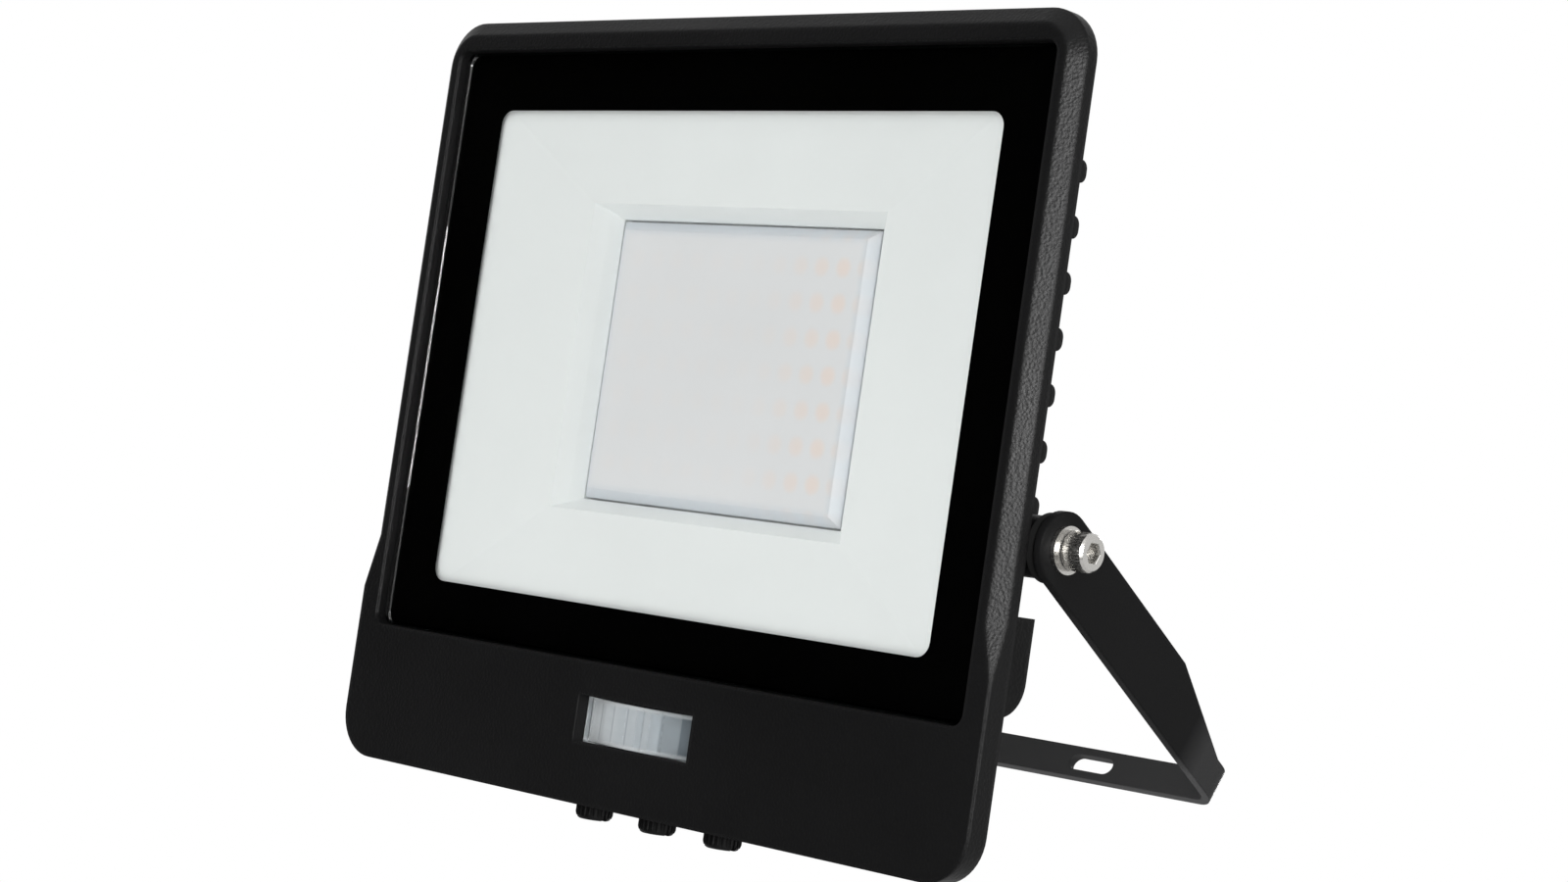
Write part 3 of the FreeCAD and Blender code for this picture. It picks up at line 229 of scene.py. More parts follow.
class Finish:
    """A material under construction: its tree, its Principled shader and its object coordinates."""

    def __init__(self, name, **plain):
        self.material = bpy.data.materials.new(name)
        self.material.use_nodes = True
        self.tree = self.material.node_tree
        self.shader = self.tree.nodes["Principled BSDF"]
        self.place = self.tree.nodes.new("ShaderNodeTexCoord").outputs["Object"]
        for key, value in plain.items():
            self.shader.inputs[key.replace("_", " ")].default_value = value

    def link(self, output, name):
        self.tree.links.new(output, self.shader.inputs[name])

    def tint(self, mask, dark, light):
        node = group_node(self.tree, "Tint", Mask=mask, Dark=(*dark, 1.0), Light=(*light, 1.0))
        self.link(node.outputs["Color"], "Base Color")
        return node.outputs["Color"]

    def head_axes(self):
        """The place of a surface point in the head frame, as a node with X, Y and Z outputs."""
        turn = self.tree.nodes.new("ShaderNodeMapping")
        turn.vector_type = "TEXTURE"
        turn.inputs["Location"].default_value = HEAD.translation
        turn.inputs["Rotation"].default_value = (HEAD_TILT, 0.0, 0.0)
        axes = self.tree.nodes.new("ShaderNodeSeparateXYZ")
        self.tree.links.new(self.place, turn.inputs["Vector"])
        self.tree.links.new(turn.outputs["Vector"], axes.inputs["Vector"])
        return axes.outputs

    def bump(self, height, distance, edge=0.0):
        """Relief of the given height in metres, and optionally a rounded look to sharp edges."""
        node = self.tree.nodes.new("ShaderNodeBump")
        node.inputs["Distance"].default_value = distance
        self.tree.links.new(height, node.inputs["Height"])
        if edge:
            rounding = self.tree.nodes.new("ShaderNodeBevel")
            rounding.samples = 4
            rounding.inputs["Radius"].default_value = edge
            self.tree.links.new(rounding.outputs["Normal"], node.inputs["Normal"])
        self.link(node.outputs["Normal"], "Normal")


def grained(name, dark, light, roughness, scale, depth, spread=0.08, cloud=25.0, edge=0.0, **plain):
    """Moulded or coated finish with grain, cloudy gloss and two close colours."""
    made = Finish(name, **plain)
    grain = group_node(
        made.tree,
        "Grain",
        Vector=made.place,
        Grain_Scale=scale,
        Cloud_Scale=cloud,
        Roughness=roughness,
        Spread=spread,
    )
    made.link(grain.outputs["Roughness"], "Roughness")
    made.tint(grain.outputs["Cloud"], dark, light)
    made.bump(grain.outputs["Height"], depth, edge)
    return made.material


def ramp(tree, value, low, high, to_low=0.0, to_high=1.0):
    """Smooth step of a value between two levels."""
    node = tree.nodes.new("ShaderNodeMapRange")
    node.interpolation_type = "SMOOTHSTEP"
    for name, level in zip(("From Min", "From Max", "To Min", "To Max"), (low, high, to_low, to_high)):
        node.inputs[name].default_value = level
    tree.links.new(value, node.inputs["Value"])
    return node.outputs["Result"]


def toward(tree, share, first, second):
    """Takes a colour socket towards a plain colour by a share."""
    node = tree.nodes.new("ShaderNodeMix")
    node.data_type = "RGBA"
    node.inputs[7].default_value = (*second, 1.0)
    tree.links.new(share, node.inputs["Factor"])
    tree.links.new(first, node.inputs[6])
    return node.outputs[2]


def raised(tree, height):
    """Height of a point above the middle of the sensor's opening."""
    return math_node(tree, "ADD", height, LENS_DROP * MM)


def powder_coat(name, dark, light, roughness, cells, depth, specular, edge=0.0015, opening=None):
    """Orange peel coat, without gloss on the walls of an opening in the head of the given half sizes."""
    made = Finish(name, Specular_IOR_Level=specular)
    grain = group_node(
        made.tree,
        "Grain",
        Vector=made.place,
        Grain_Scale=2600.0,
        Cloud_Scale=18.0,
        Roughness=roughness,
        Spread=0.22,
    )
    peel = group_node(made.tree, "Orange Peel", Vector=made.place, Cell_Scale=cells, Grain=0.5)
    rough = grain.outputs["Roughness"]
    if opening:
        across = made.head_axes()
        beyond = []
        for place, half in ((across["X"], opening[0]), (raised(made.tree, across["Z"]), opening[1])):
            size = math_node(made.tree, "ABSOLUTE", place, 0.0)
            beyond.append(math_node(made.tree, "SUBTRACT", size, half * MM))
        outside = math_node(made.tree, "MAXIMUM", *beyond)
        rough = math_node(made.tree, "MAXIMUM", rough, ramp(made.tree, outside, 0.3 * MM, 0.1 * MM))
    made.link(rough, "Roughness")
    made.tint(grain.outputs["Cloud"], dark, light)
    made.bump(peel.outputs["Height"], depth, edge)
    return made.material


def steel(name, stretch, roughness, color, depth=0.00002):
    made = Finish(name, Metallic=1.0)
    marks = group_node(made.tree, "Turned Marks", Vector=made.place, Stretch=stretch)
    rough = math_node(made.tree, "MULTIPLY_ADD", marks.outputs["Height"], 0.3, roughness - 0.15)
    made.link(rough, "Roughness")
    made.tint(marks.outputs["Height"], [c * 0.86 for c in color], color)
    made.bump(marks.outputs["Height"], depth)
    return made.material


def clear_glass():
    """Toughened pane: clear, with its outer rim coloured near black as painted shade, and open to light from the lamps
    so that the reflector behind it is lit.
    """
    made = Finish("clear_glass", Transmission_Weight=1.0, Roughness=0.0, IOR=1.5)
    tree = made.tree
    axes = made.head_axes()
    half_width = (GLASS["right"] - GLASS["left"]) / 2 - 0.9
    half_height = (GLASS["high"] - GLASS["low"]) / 2 - 0.9
    middle = (GLASS["high"] + GLASS["low"]) / 2
    along = math_node(tree, "ABSOLUTE", axes["X"], 0.0)
    up = math_node(tree, "ABSOLUTE", math_node(tree, "SUBTRACT", axes["Z"], middle * MM), 0.0)
    beyond_x = math_node(tree, "SUBTRACT", along, half_width * MM)
    beyond_z = math_node(tree, "SUBTRACT", up, half_height * MM)
    # Painted shade: the pane turns near black along its outer rim, so that its edge shows dark.
    edge = tree.nodes.new("ShaderNodeMapRange")
    edge.inputs["From Min"].default_value = -0.3 * MM
    edge.inputs["From Max"].default_value = 0.1 * MM
    tree.links.new(math_node(tree, "MAXIMUM", beyond_x, beyond_z), edge.inputs["Value"])
    tone = tree.nodes.new("ShaderNodeMix")
    tone.data_type = "RGBA"
    tone.inputs[6].default_value = (0.985, 0.989, 0.986, 1.0)
    tone.inputs[7].default_value = (0.004, 0.005, 0.005, 1.0)
    tree.links.new(edge.outputs["Result"], tone.inputs["Factor"])
    made.link(tone.outputs[2], "Base Color")
    path = tree.nodes.new("ShaderNodeLightPath")
    either = math_node(tree, "MAXIMUM", path.outputs["Is Shadow Ray"], path.outputs["Is Diffuse Ray"])
    open_way = tree.nodes.new("ShaderNodeBsdfTransparent")
    open_way.inputs["Color"].default_value = (0.95, 0.955, 0.95, 1.0)
    mix = tree.nodes.new("ShaderNodeMixShader")
    tree.links.new(either, mix.inputs["Fac"])
    tree.links.new(made.shader.outputs[0], mix.inputs[1])
    tree.links.new(open_way.outputs[0], mix.inputs[2])
    tree.links.new(mix.outputs[0], tree.nodes["Material Output"].inputs["Surface"])
    return made.material


def milky_cover(settings):
    """Diffusing cover: bluish at its edges as painted shade, with warm spots painted over the light points that fade
    to the left as painted light.
    """
    made = Finish("milky_cover", Specular_IOR_Level=0.07)
    tree = made.tree
    across = made.head_axes()
    grain = group_node(
        tree,
        "Grain",
        Vector=made.place,
        Grain_Scale=1500.0,
        Cloud_Scale=40.0,
        Roughness=0.38,
        Spread=0.1,
    )
    made.link(grain.outputs["Roughness"], "Roughness")
    base = made.tint(grain.outputs["Cloud"], settings.cover_color, [c * 1.02 for c in settings.cover_color])
    # Warm spots painted over the light points, where the chips beneath show through the cover.
    spots = []
    for axis, pitch in (("X", 6.6 * MM), ("Z", 8.1 * MM)):
        cell = math_node(tree, "DIVIDE", across[axis], pitch)
        wrapped = math_node(tree, "WRAP", cell, 0.5, -0.5)
        spots.append(math_node(tree, "MULTIPLY", wrapped, pitch))
    squared = math_node(tree, "MULTIPLY", spots[0], spots[0])
    distance = math_node(tree, "MULTIPLY_ADD", spots[1], spots[1], squared)
    glow = tree.nodes.new("ShaderNodeMapRange")
    glow.interpolation_type = "SMOOTHSTEP"
    glow.inputs["From Min"].default_value = (2.9 * MM) ** 2
    glow.inputs["From Max"].default_value = 0.0
    tree.links.new(distance, glow.inputs["Value"])
    # Painted light: the spots fade towards the left.
    side = tree.nodes.new("ShaderNodeMapRange")
    side.interpolation_type = "SMOOTHSTEP"
    side.inputs["From Min"].default_value = 0.008
    side.inputs["From Max"].default_value = 0.036
    side.inputs["To Min"].default_value = 0.1
    side.inputs["To Max"].default_value = 1.0
    tree.links.new(across["X"], side.inputs["Value"])
    share = math_node(tree, "MULTIPLY", glow.outputs["Result"], side.outputs["Result"])
    strength = math_node(tree, "MULTIPLY", share, settings.spot_strength)
    warm = tree.nodes.new("ShaderNodeMix")
    warm.data_type = "RGBA"
    warm.inputs[7].default_value = (0.95, 0.60, 0.40, 1.0)
    tree.links.new(strength, warm.inputs["Factor"])
    tree.links.new(base, warm.inputs[6])
    # Painted shade: a bluish band along the cover's rounded edges.
    edge_x = math_node(tree, "ABSOLUTE", across["X"], 0.0)
    edge_z = math_node(tree, "ABSOLUTE", across["Z"], 0.0)
    near_x = math_node(tree, "SUBTRACT", edge_x, 39.4 * MM)
    near_z = math_node(tree, "SUBTRACT", edge_z, 31.4 * MM)
    nearest = math_node(tree, "MAXIMUM", near_x, near_z)
    rim = tree.nodes.new("ShaderNodeMapRange")
    rim.interpolation_type = "SMOOTHSTEP"
    rim.inputs["From Min"].default_value = -2.6 * MM
    rim.inputs["From Max"].default_value = 0.6 * MM
    rim.inputs["To Max"].default_value = 0.8
    tree.links.new(nearest, rim.inputs["Value"])
    blue = tree.nodes.new("ShaderNodeMix")
    blue.data_type = "RGBA"
    blue.inputs[7].default_value = (*settings.cover_edge_painted_shade, 1.0)
    tree.links.new(rim.outputs["Result"], blue.inputs["Factor"])
    tree.links.new(warm.outputs[2], blue.inputs[6])
    made.link(blue.outputs[2], "Base Color")
    made.bump(grain.outputs["Height"], 0.00001, 0.0005)
    return made.material


def lens_finish(colors, sizes):
    """Milky lens with painted light and shade: a painted highlight along its upper and lower rim, a left end painted
    paler to lift the shade of its pocket, painted shade in its seams, and facets painted bluer and darker towards its
    right end.
    """
    made = Finish("sensor_lens", Transmission_Weight=0.35, IOR=1.49)
    tree = made.tree
    grain = group_node(
        tree, "Grain", Vector=made.place, Grain_Scale=900.0, Cloud_Scale=60.0, Roughness=0.4, Spread=0.1
    )
    made.link(grain.outputs["Roughness"], "Roughness")
    base = made.tint(grain.outputs["Cloud"], [c * 0.96 for c in colors.lens], colors.lens)
    across = made.head_axes()
    facet = 2 * LENS_HALF_WIDTH * MM / sizes.lens_facets
    place = math_node(tree, "ADD", math_node(tree, "DIVIDE", across["X"], facet), sizes.lens_facets / 2)
    index = math_node(tree, "FLOOR", place, 0.0)
    middle = math_node(tree, "SUBTRACT", index, (sizes.lens_facets - 1) / 2)
    # Painted light: the left end turns paler, lifting the shade of the lens's pocket.
    base = toward(tree, ramp(tree, across["X"], -4.0 * MM, -17.0 * MM, to_high=0.75), base, colors.lens_painted_light)
    # Painted shade: the facets turn bluer and darker towards the right end.
    end = ramp(tree, math_node(tree, "MULTIPLY", middle, facet), 3.0 * MM, 18.5 * MM)
    base = toward(tree, end, base, colors.lens_painted_shade)
    # Painted shade: darker seams between the facets.
    off_middle = math_node(tree, "SUBTRACT", math_node(tree, "SUBTRACT", place, index), 0.5)
    seam_painted_shade = ramp(tree, math_node(tree, "ABSOLUTE", off_middle, 0.0), 0.42, 0.5, to_high=0.4)
    base = toward(tree, seam_painted_shade, base, colors.lens_painted_shade)
    # Painted highlight: a paler band along the upper and lower rim.
    height = math_node(tree, "ABSOLUTE", raised(tree, across["Z"]), 0.0)
    rim = ramp(tree, height, 3.8 * MM, 4.5 * MM, to_high=0.7)
    made.link(toward(tree, rim, base, colors.lens_painted_light), "Base Color")
    made.bump(grain.outputs["Height"], 0.00001, 0.0002)
    return made.material


def board_finish(name, mask_color, trace_color):
    """Circuit board: solder mask with faint copper traces under it."""
    made = Finish(name, Roughness=0.35)
    traces = made.tree.nodes.new("ShaderNodeTexBrick")
    traces.inputs["Scale"].default_value = 90.0
    traces.inputs["Mortar Size"].default_value = 0.06
    traces.inputs["Color1"].default_value = (*mask_color, 1.0)
    traces.inputs["Color2"].default_value = (*[c * 0.92 for c in mask_color], 1.0)
    traces.inputs["Mortar"].default_value = (*trace_color, 1.0)
    made.tree.links.new(made.place, traces.inputs["Vector"])
    made.link(traces.outputs["Color"], "Base Color")
    made.bump(traces.outputs["Fac"], 0.00004)
    return made.material


# Mesh work


def rounded_loop(left, right, low, high, radius, y, steps=6):
    """Points of a rectangle with round corners at depth y, in millimetres of the head frame."""
    centres = (
        (right - radius, low + radius, -90),
        (right - radius, high - radius, 0),
        (left + radius, high - radius, 90),
        (left + radius, low + radius, 180),
    )
    points = []
    for cx, cz, start in centres:
        for step in range(steps + 1):
            turn = math.radians(start + 90 * step / steps)
            points.append(Vector((cx + radius * math.cos(turn), y, cz + radius * math.sin(turn))))
    return points


def ring(half_width, half_height, y, radius, steps=6):
    return rounded_loop(-half_width, half_width, -half_height, half_height, radius, y, steps)


def skin(mesh, loops, closed=False, capped=False):
    """Joins loops of equal length by quads, and caps the ends or closes the last loop on the first."""
    rows = [[mesh.verts.new(point) for point in loop] for loop in loops]
    pairs = list(zip(rows, rows[1:] + rows[:1])) if closed else list(zip(rows, rows[1:]))
    count = len(rows[0])
    for first, second in pairs:
        for index in range(count):
            after = (index + 1) % count
            mesh.faces.new((first[index], first[after], second[after], second[index]))
    if capped:
        mesh.faces.new(list(reversed(rows[0])))
        mesh.faces.new(rows[-1])


def lathe_loops(profile, sides):
    """Circles of (radius, height) pairs about +Z."""
    turns = [2 * math.pi * i / sides for i in range(sides)]
    return [[Vector((r * math.cos(a), r * math.sin(a), h)) for a in turns] for r, h in profile]


def make_piece(name, mesh, matrix, material, smooth=35.0, bevel=0.0, segments=2):
    """Turns mesh work in millimetres into a finished object with its place in its mesh."""
    bmesh.ops.recalc_face_normals(mesh, faces=mesh.faces)
    data = bpy.data.meshes.new(name)
    mesh.to_mesh(data)
    mesh.free()
    data.transform(matrix @ Matrix.Scale(MM, 4))
    piece = bpy.data.objects.new(name, data)
    bpy.context.scene.collection.objects.link(piece)
    data.materials.append(material)
    if bevel:
        edge = piece.modifiers.new("Rounded edges", "BEVEL")
        edge.width = bevel * MM
        edge.segments = segments
        edge.limit_method = "ANGLE"
        edge.angle_limit = math.radians(smooth)
        edge.harden_normals = False
        flatten_modifiers(piece)
        data = piece.data
    for face in data.polygons:
        face.use_smooth = True
    data.set_sharp_from_angle(angle=math.radians(smooth if not bevel else 40.0))
    return piece


def flatten_modifiers(piece):
    """Replaces the piece's mesh by what its modifiers make, and removes them."""
    graph = bpy.context.evaluated_depsgraph_get()
    made = bpy.data.meshes.new_from_object(piece.evaluated_get(graph))
    made.name = piece.name
    piece.modifiers.clear()
    piece.data = made


def carry(piece, body, slot, *nodes):
    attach(piece, body)
    if nodes:
        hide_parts(*nodes)
    return piece


def dress(node, material):
    """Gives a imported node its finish."""
    data = NODES[node].data
    data.materials.clear()
    data.materials.append(material)


# Repeats


def spots_tree():
    """Puts a copy of a template on every point, each turned about its own axis by chance."""
    tree = bpy.data.node_groups.new("Copies On Spots", "GeometryNodeTree")
    socket_of(tree, "Geometry", "Geometry")
    socket_of(tree, "Template", "Object")
    socket_of(tree, "Size", "Float", 1.0)
    socket_of(tree, "Turn", "Float", 0.0)
    socket_of(tree, "Seed", "Int", 0)
    socket_of(tree, "Finish", "Material")
    socket_of(tree, "Geometry", "Geometry", output=True)
    nodes = tree.nodes
    start = nodes.new("NodeGroupInput")
    end = nodes.new("NodeGroupOutput")
    info = nodes.new("GeometryNodeObjectInfo")
    info.inputs["As Instance"].default_value = True
    turn = nodes.new("FunctionNodeRandomValue")
    spin = nodes.new("ShaderNodeCombineXYZ")
    copies = nodes.new("GeometryNodeInstanceOnPoints")
    real = nodes.new("GeometryNodeRealizeInstances")
    paint = nodes.new("GeometryNodeSetMaterial")
    low = math_node(tree, "MULTIPLY", start.outputs["Turn"], -1.0)
    links = (
        (start.outputs["Geometry"], copies.inputs["Points"]),
        (start.outputs["Template"], info.inputs["Object"]),
        (info.outputs["Geometry"], copies.inputs["Instance"]),
        (low, turn.inputs[2]),
        (start.outputs["Turn"], turn.inputs[3]),
        (start.outputs["Seed"], turn.inputs["Seed"]),
        (turn.outputs[1], spin.inputs["Z"]),
        (spin.outputs["Vector"], copies.inputs["Rotation"]),
        (start.outputs["Size"], copies.inputs["Scale"]),
        (copies.outputs["Instances"], real.inputs["Geometry"]),
        (real.outputs["Geometry"], paint.inputs["Geometry"]),
        (start.outputs["Finish"], paint.inputs["Material"]),
        (paint.outputs["Geometry"], end.inputs["Geometry"]),
    )
    for source, target in links:
        tree.links.new(source, target)
    return tree


def ring_tree():
    """Puts copies of a template round a circle about +Z, each facing outwards."""
    tree = bpy.data.node_groups.new("Copies Round A Circle", "GeometryNodeTree")
    socket_of(tree, "Geometry", "Geometry")
    socket_of(tree, "Template", "Object")
    socket_of(tree, "Count", "Int", 24)
    socket_of(tree, "Radius", "Float", 0.004)
    socket_of(tree, "Finish", "Material")
    socket_of(tree, "Geometry", "Geometry", output=True)
    nodes = tree.nodes
    start = nodes.new("NodeGroupInput")
    end = nodes.new("NodeGroupOutput")
    circle = nodes.new("GeometryNodeMeshCircle")
    info = nodes.new("GeometryNodeObjectInfo")
    info.inputs["As Instance"].default_value = True
    place = nodes.new("GeometryNodeInputPosition")
    aim = nodes.new("FunctionNodeAlignRotationToVector")
    aim.axis = "X"
    aim.pivot_axis = "Z"
    copies = nodes.new("GeometryNodeInstanceOnPoints")
    real = nodes.new("GeometryNodeRealizeInstances")
    both = nodes.new("GeometryNodeJoinGeometry")
    paint = nodes.new("GeometryNodeSetMaterial")
    links = (
        (start.outputs["Count"], circle.inputs["Vertices"]),
        (start.outputs["Radius"], circle.inputs["Radius"]),
        (circle.outputs["Mesh"], copies.inputs["Points"]),
        (start.outputs["Template"], info.inputs["Object"]),
        (info.outputs["Geometry"], copies.inputs["Instance"]),
        (place.outputs["Position"], aim.inputs["Vector"]),
        (aim.outputs["Rotation"], copies.inputs["Rotation"]),
        (copies.outputs["Instances"], real.inputs["Geometry"]),
        (start.outputs["Geometry"], both.inputs["Geometry"]),
        (real.outputs["Geometry"], both.inputs["Geometry"]),
        (both.outputs["Geometry"], paint.inputs["Geometry"]),
        (start.outputs["Finish"], paint.inputs["Material"]),
        (paint.outputs["Geometry"], end.inputs["Geometry"]),
    )
    for source, target in links:
        tree.links.new(source, target)
    return tree


TREES = {}


def run_tree(name, host, **values):
    """Runs a repeat on the host object, sets its inputs by identifier and keeps the result as a mesh."""
    if name not in TREES:
        TREES[name] = {"spots": spots_tree, "ring": ring_tree}[name]()
    tree = TREES[name]
    modifier = host.modifiers.new("Repeat", "NODES")
    modifier.node_group = tree
    names = {item.name: item.identifier for item in tree.interface.items_tree if item.in_out == "INPUT"}
    for key, value in values.items():
        modifier[names[key]] = value
    flatten_modifiers(host)


def template(name, mesh):
    """Object that a repeat copies, in metres about its own origin."""
    bmesh.ops.recalc_face_normals(mesh, faces=mesh.faces)
    data = bpy.data.meshes.new(name)
    mesh.to_mesh(data)
    mesh.free()
    data.transform(Matrix.Scale(MM, 4))
    for face in data.polygons:
        face.use_smooth = True
    data.set_sharp_from_angle(angle=math.radians(40.0))
    made = bpy.data.objects.new(name, data)
    bpy.context.scene.collection.objects.link(made)
    return made


def host_of_spots(name, spots):
    data = bpy.data.meshes.new(name)
    data.from_pydata([Vector(s) * MM for s in spots], [], [])
    host = bpy.data.objects.new(name, data)
    bpy.context.scene.collection.objects.link(host)
    return host


def settle(piece, matrix):
    piece.data.transform(matrix)
    piece.data.name = piece.name


def drop(piece):
    data = piece.data
    bpy.data.objects.remove(piece)
    bpy.data.meshes.remove(data)


# Sizes and colours a user may change


def length(name, text, value):
    return bpy.props.FloatProperty(name=name, description=text, default=value, subtype="DISTANCE", unit="LENGTH")


def color(name, text, value):
    return bpy.props.FloatVectorProperty(
        name=name, description=text, default=value, subtype="COLOR", size=3, min=0.0, max=1.0
    )


class FloodlightFinishes(bpy.types.PropertyGroup):
    """Colours of the coats, plastics and covers."""

    coat: color("Housing Coat", "Colour of the powder coat on the housing", (0.0062, 0.0062, 0.0065))
    cover_coat: color("Cover Coat", "Colour of the powder coat on the rear cover", (0.0036, 0.0036, 0.0038))
    bracket_coat: color("Bracket Coat", "Colour of the powder coat on the bracket", (0.015, 0.015, 0.0154))
    # Painted light: the paler coat at the bar stands in for the light that falls on it.
    bracket_bar_painted_light: color("Bar Coat", "Colour of the bracket's coat at the wall", (0.08, 0.08, 0.0812))
    reflector: color("Reflector", "Colour of the white reflector", (0.865, 0.893, 0.89))
    cover_color: color("LED Cover", "Colour of the cover over the light source", (0.765, 0.77, 0.783))
    # Painted shade: the bluish edge colour stands in for the shade on the cover's rounded rim.
    cover_edge_painted_shade: color("LED Cover Edge", "Colour of that cover near its edges", (0.64, 0.68, 0.73))
    lens: color("Sensor Lens", "Colour of the motion sensor's lens", (0.5, 0.55, 0.58))
    # Painted shade: the lens's right end and its seams are darkened with this colour.
    lens_painted_shade: color("Sensor Lens End", "Colour of the lens at its right end", (0.12, 0.155, 0.18))
    # Painted light: the lens's upper and lower rim and its left end are lightened with this colour.
    lens_painted_light: color("Sensor Lens Rim", "Colour of the lens along its upper and lower edge", (0.66, 0.69, 0.70))
    nylon: color("Black Plastic", "Colour of knobs, cable gland and holder", (0.003, 0.003, 0.0033))
    # The warm spots are painted over the light points, fading to the left as painted light.
    spot_strength: bpy.props.FloatProperty(
        name="Warm Spots",
        description="How strongly the light points show through their cover",
        default=0.28,
        min=0.0,
        max=1.0,
        subtype="FACTOR",
    )


class FloodlightSizes(bpy.types.PropertyGroup):
    """Sizes of the fine pieces."""

    border_depth: length("Border Depth", "Depth of the black border print in the glass", 2.93 * MM)
    border_thickness: length("Border Thickness", "Thickness of the border print", 0.05 * MM)
    lens_relief: length("Lens Relief", "Height of the lens's facets", 0.26 * MM)
    lens_row_relief: length("Lens Row Relief", "Height of the lens's rows", 0.05 * MM)
    knurl_height: length("Knurl Height", "Height of the ridges round a bolt's head", 0.14 * MM)
    lens_facets: bpy.props.IntProperty(
        name="Lens Facets", description="Upright facets across the sensor lens", default=7, min=3, max=15
    )
    knob_ridges: bpy.props.IntProperty(
        name="Knob Ridges", description="Grip ridges round a setting knob", default=24, min=8, max=36
    )
    bolt_ridges: bpy.props.IntProperty(
        name="Bolt Ridges", description="Ridges round a pivot bolt's head", default=36, min=12, max=60
    )


class FloodlightStage(bpy.types.PropertyGroup):
    """Light and background."""

    sky: bpy.props.FloatProperty(
        name="Sky Light", description="Strength of the even light from all round", default=0.34, min=0.0
    )
    front_power: bpy.props.FloatProperty(
        name="Front Lamp", description="Power of the soft lamp before the glass", default=5.2, unit="POWER"
    )
    low_power: bpy.props.FloatProperty(
        name="Low Lamp", description="Power of the soft lamp under the glass", default=0.7, unit="POWER"
    )
    back_power: bpy.props.FloatProperty(
        name="Back Lamp", description="Power of the soft lamp behind the wall bracket", default=14.0, unit="POWER"
    )
    rim_power: bpy.props.FloatProperty(
        name="Rim Lamp", description="Power of the lamp that draws the chamfer's gloss", default=31.0, unit="POWER"
    )
    floor_drop: length("Floor Height", "Height of the floor under the bracket's bar", -0.45)


def settings():
    scene = bpy.context.scene
    return scene.floodlight_finishes, scene.floodlight_sizes, scene.floodlight_stage


BACKWARDS = HEAD @ Matrix.Rotation(math.radians(-90.0), 4, "X")
FORWARDS = HEAD @ Matrix.Rotation(math.radians(90.0), 4, "X")


def shared(name, maker):
    """A finish that several pieces wear, made once."""
    return bpy.data.materials.get(name) or maker(name)


def rubber(name):
    return grained(name, (0.006, 0.006, 0.006), (0.011, 0.011, 0.011), 0.7, 3000.0, 0.00004)


def stainless(name):
    return steel(name, (900.0, 4200.0, 4200.0), 0.24, (0.50, 0.49, 0.47), 0.000004)


def zinc(name):
    return steel(name, (4200.0, 500.0, 4200.0), 0.34, (0.55, 0.56, 0.58))


def nylon(name):
    tone = settings()[0].nylon
    return grained(name, tone, [c * 1.5 for c in tone], 0.5, 2500.0, 0.00003, Specular_IOR_Level=0.1)


def green_board(name):
    return board_finish(name, (0.012, 0.09, 0.035), (0.03, 0.16, 0.07))


def white_board(name):
    return board_finish(name, (0.74, 0.75, 0.74), (0.62, 0.64, 0.65))


class FLOODLIGHT_OT_housing(bpy.types.Operator):
    """Coats the housing and its rear cover, and blackens their seals"""

    bl_idname = "floodlight.housing"
    bl_label = "Housing"

    def execute(self, context):
        colors = settings()[0]
        coat = powder_coat("housing_coat", colors.coat, [c * 1.25 for c in colors.coat], 0.46, 1500.0, 0.00008, 0.085, opening=EYE_HALVES)
        dress("housing", coat)
        plate = powder_coat(
            "rear_cover_coat", colors.cover_coat, [c * 1.25 for c in colors.cover_coat], 0.5, 1350.0, 0.00008, 0.12
        )
        dress("rear_cover", plate)
        for node in ("glass_seal", "rear_cover_seal"):
            dress(node, shared("seal_rubber", rubber))
        return {"FINISHED"}


class FLOODLIGHT_OT_bracket(bpy.types.Operator):
    """Coats the folded wall bracket"""

    bl_idname = "floodlight.bracket"
    bl_label = "Bracket"

    def execute(self, context):
        colors = settings()[0]
        tone = colors.bracket_coat
        coat = powder_coat("bracket_coat", tone, [c * 1.3 for c in tone], 0.5, 2600.0, 0.00002, 0.03, 0.0007)
        dress("mounting_bracket", coat)
        self.fade(coat, colors.bracket_bar_painted_light)
        return {"FINISHED"}


    @staticmethod
    def fade(coat, bar_painted_light):
        """Painted light: the coat turns a little paler from the middle of the arms to the bar at the wall, where light
        falls on the bar.
        """
        tree = coat.node_tree
        shader = tree.nodes["Principled BSDF"]
        base = shader.inputs["Base Color"].links[0].from_socket
        axes = tree.nodes.new("ShaderNodeSeparateXYZ")
        ramp = tree.nodes.new("ShaderNodeMapRange")
        ramp.interpolation_type = "SMOOTHSTEP"
        ramp.inputs["From Min"].default_value = -30.0 * MM
        ramp.inputs["From Max"].default_value = -2.0 * MM
        tree.links.new(tree.nodes["Texture Coordinate"].outputs["Object"], axes.inputs["Vector"])
        tree.links.new(axes.outputs["Y"], ramp.inputs["Value"])
        blend = group_node(tree, "Tint", Mask=ramp.outputs["Result"], Dark=base, Light=(*bar_painted_light, 1.0))
        tree.links.new(blend.outputs["Color"], shader.inputs["Base Color"])


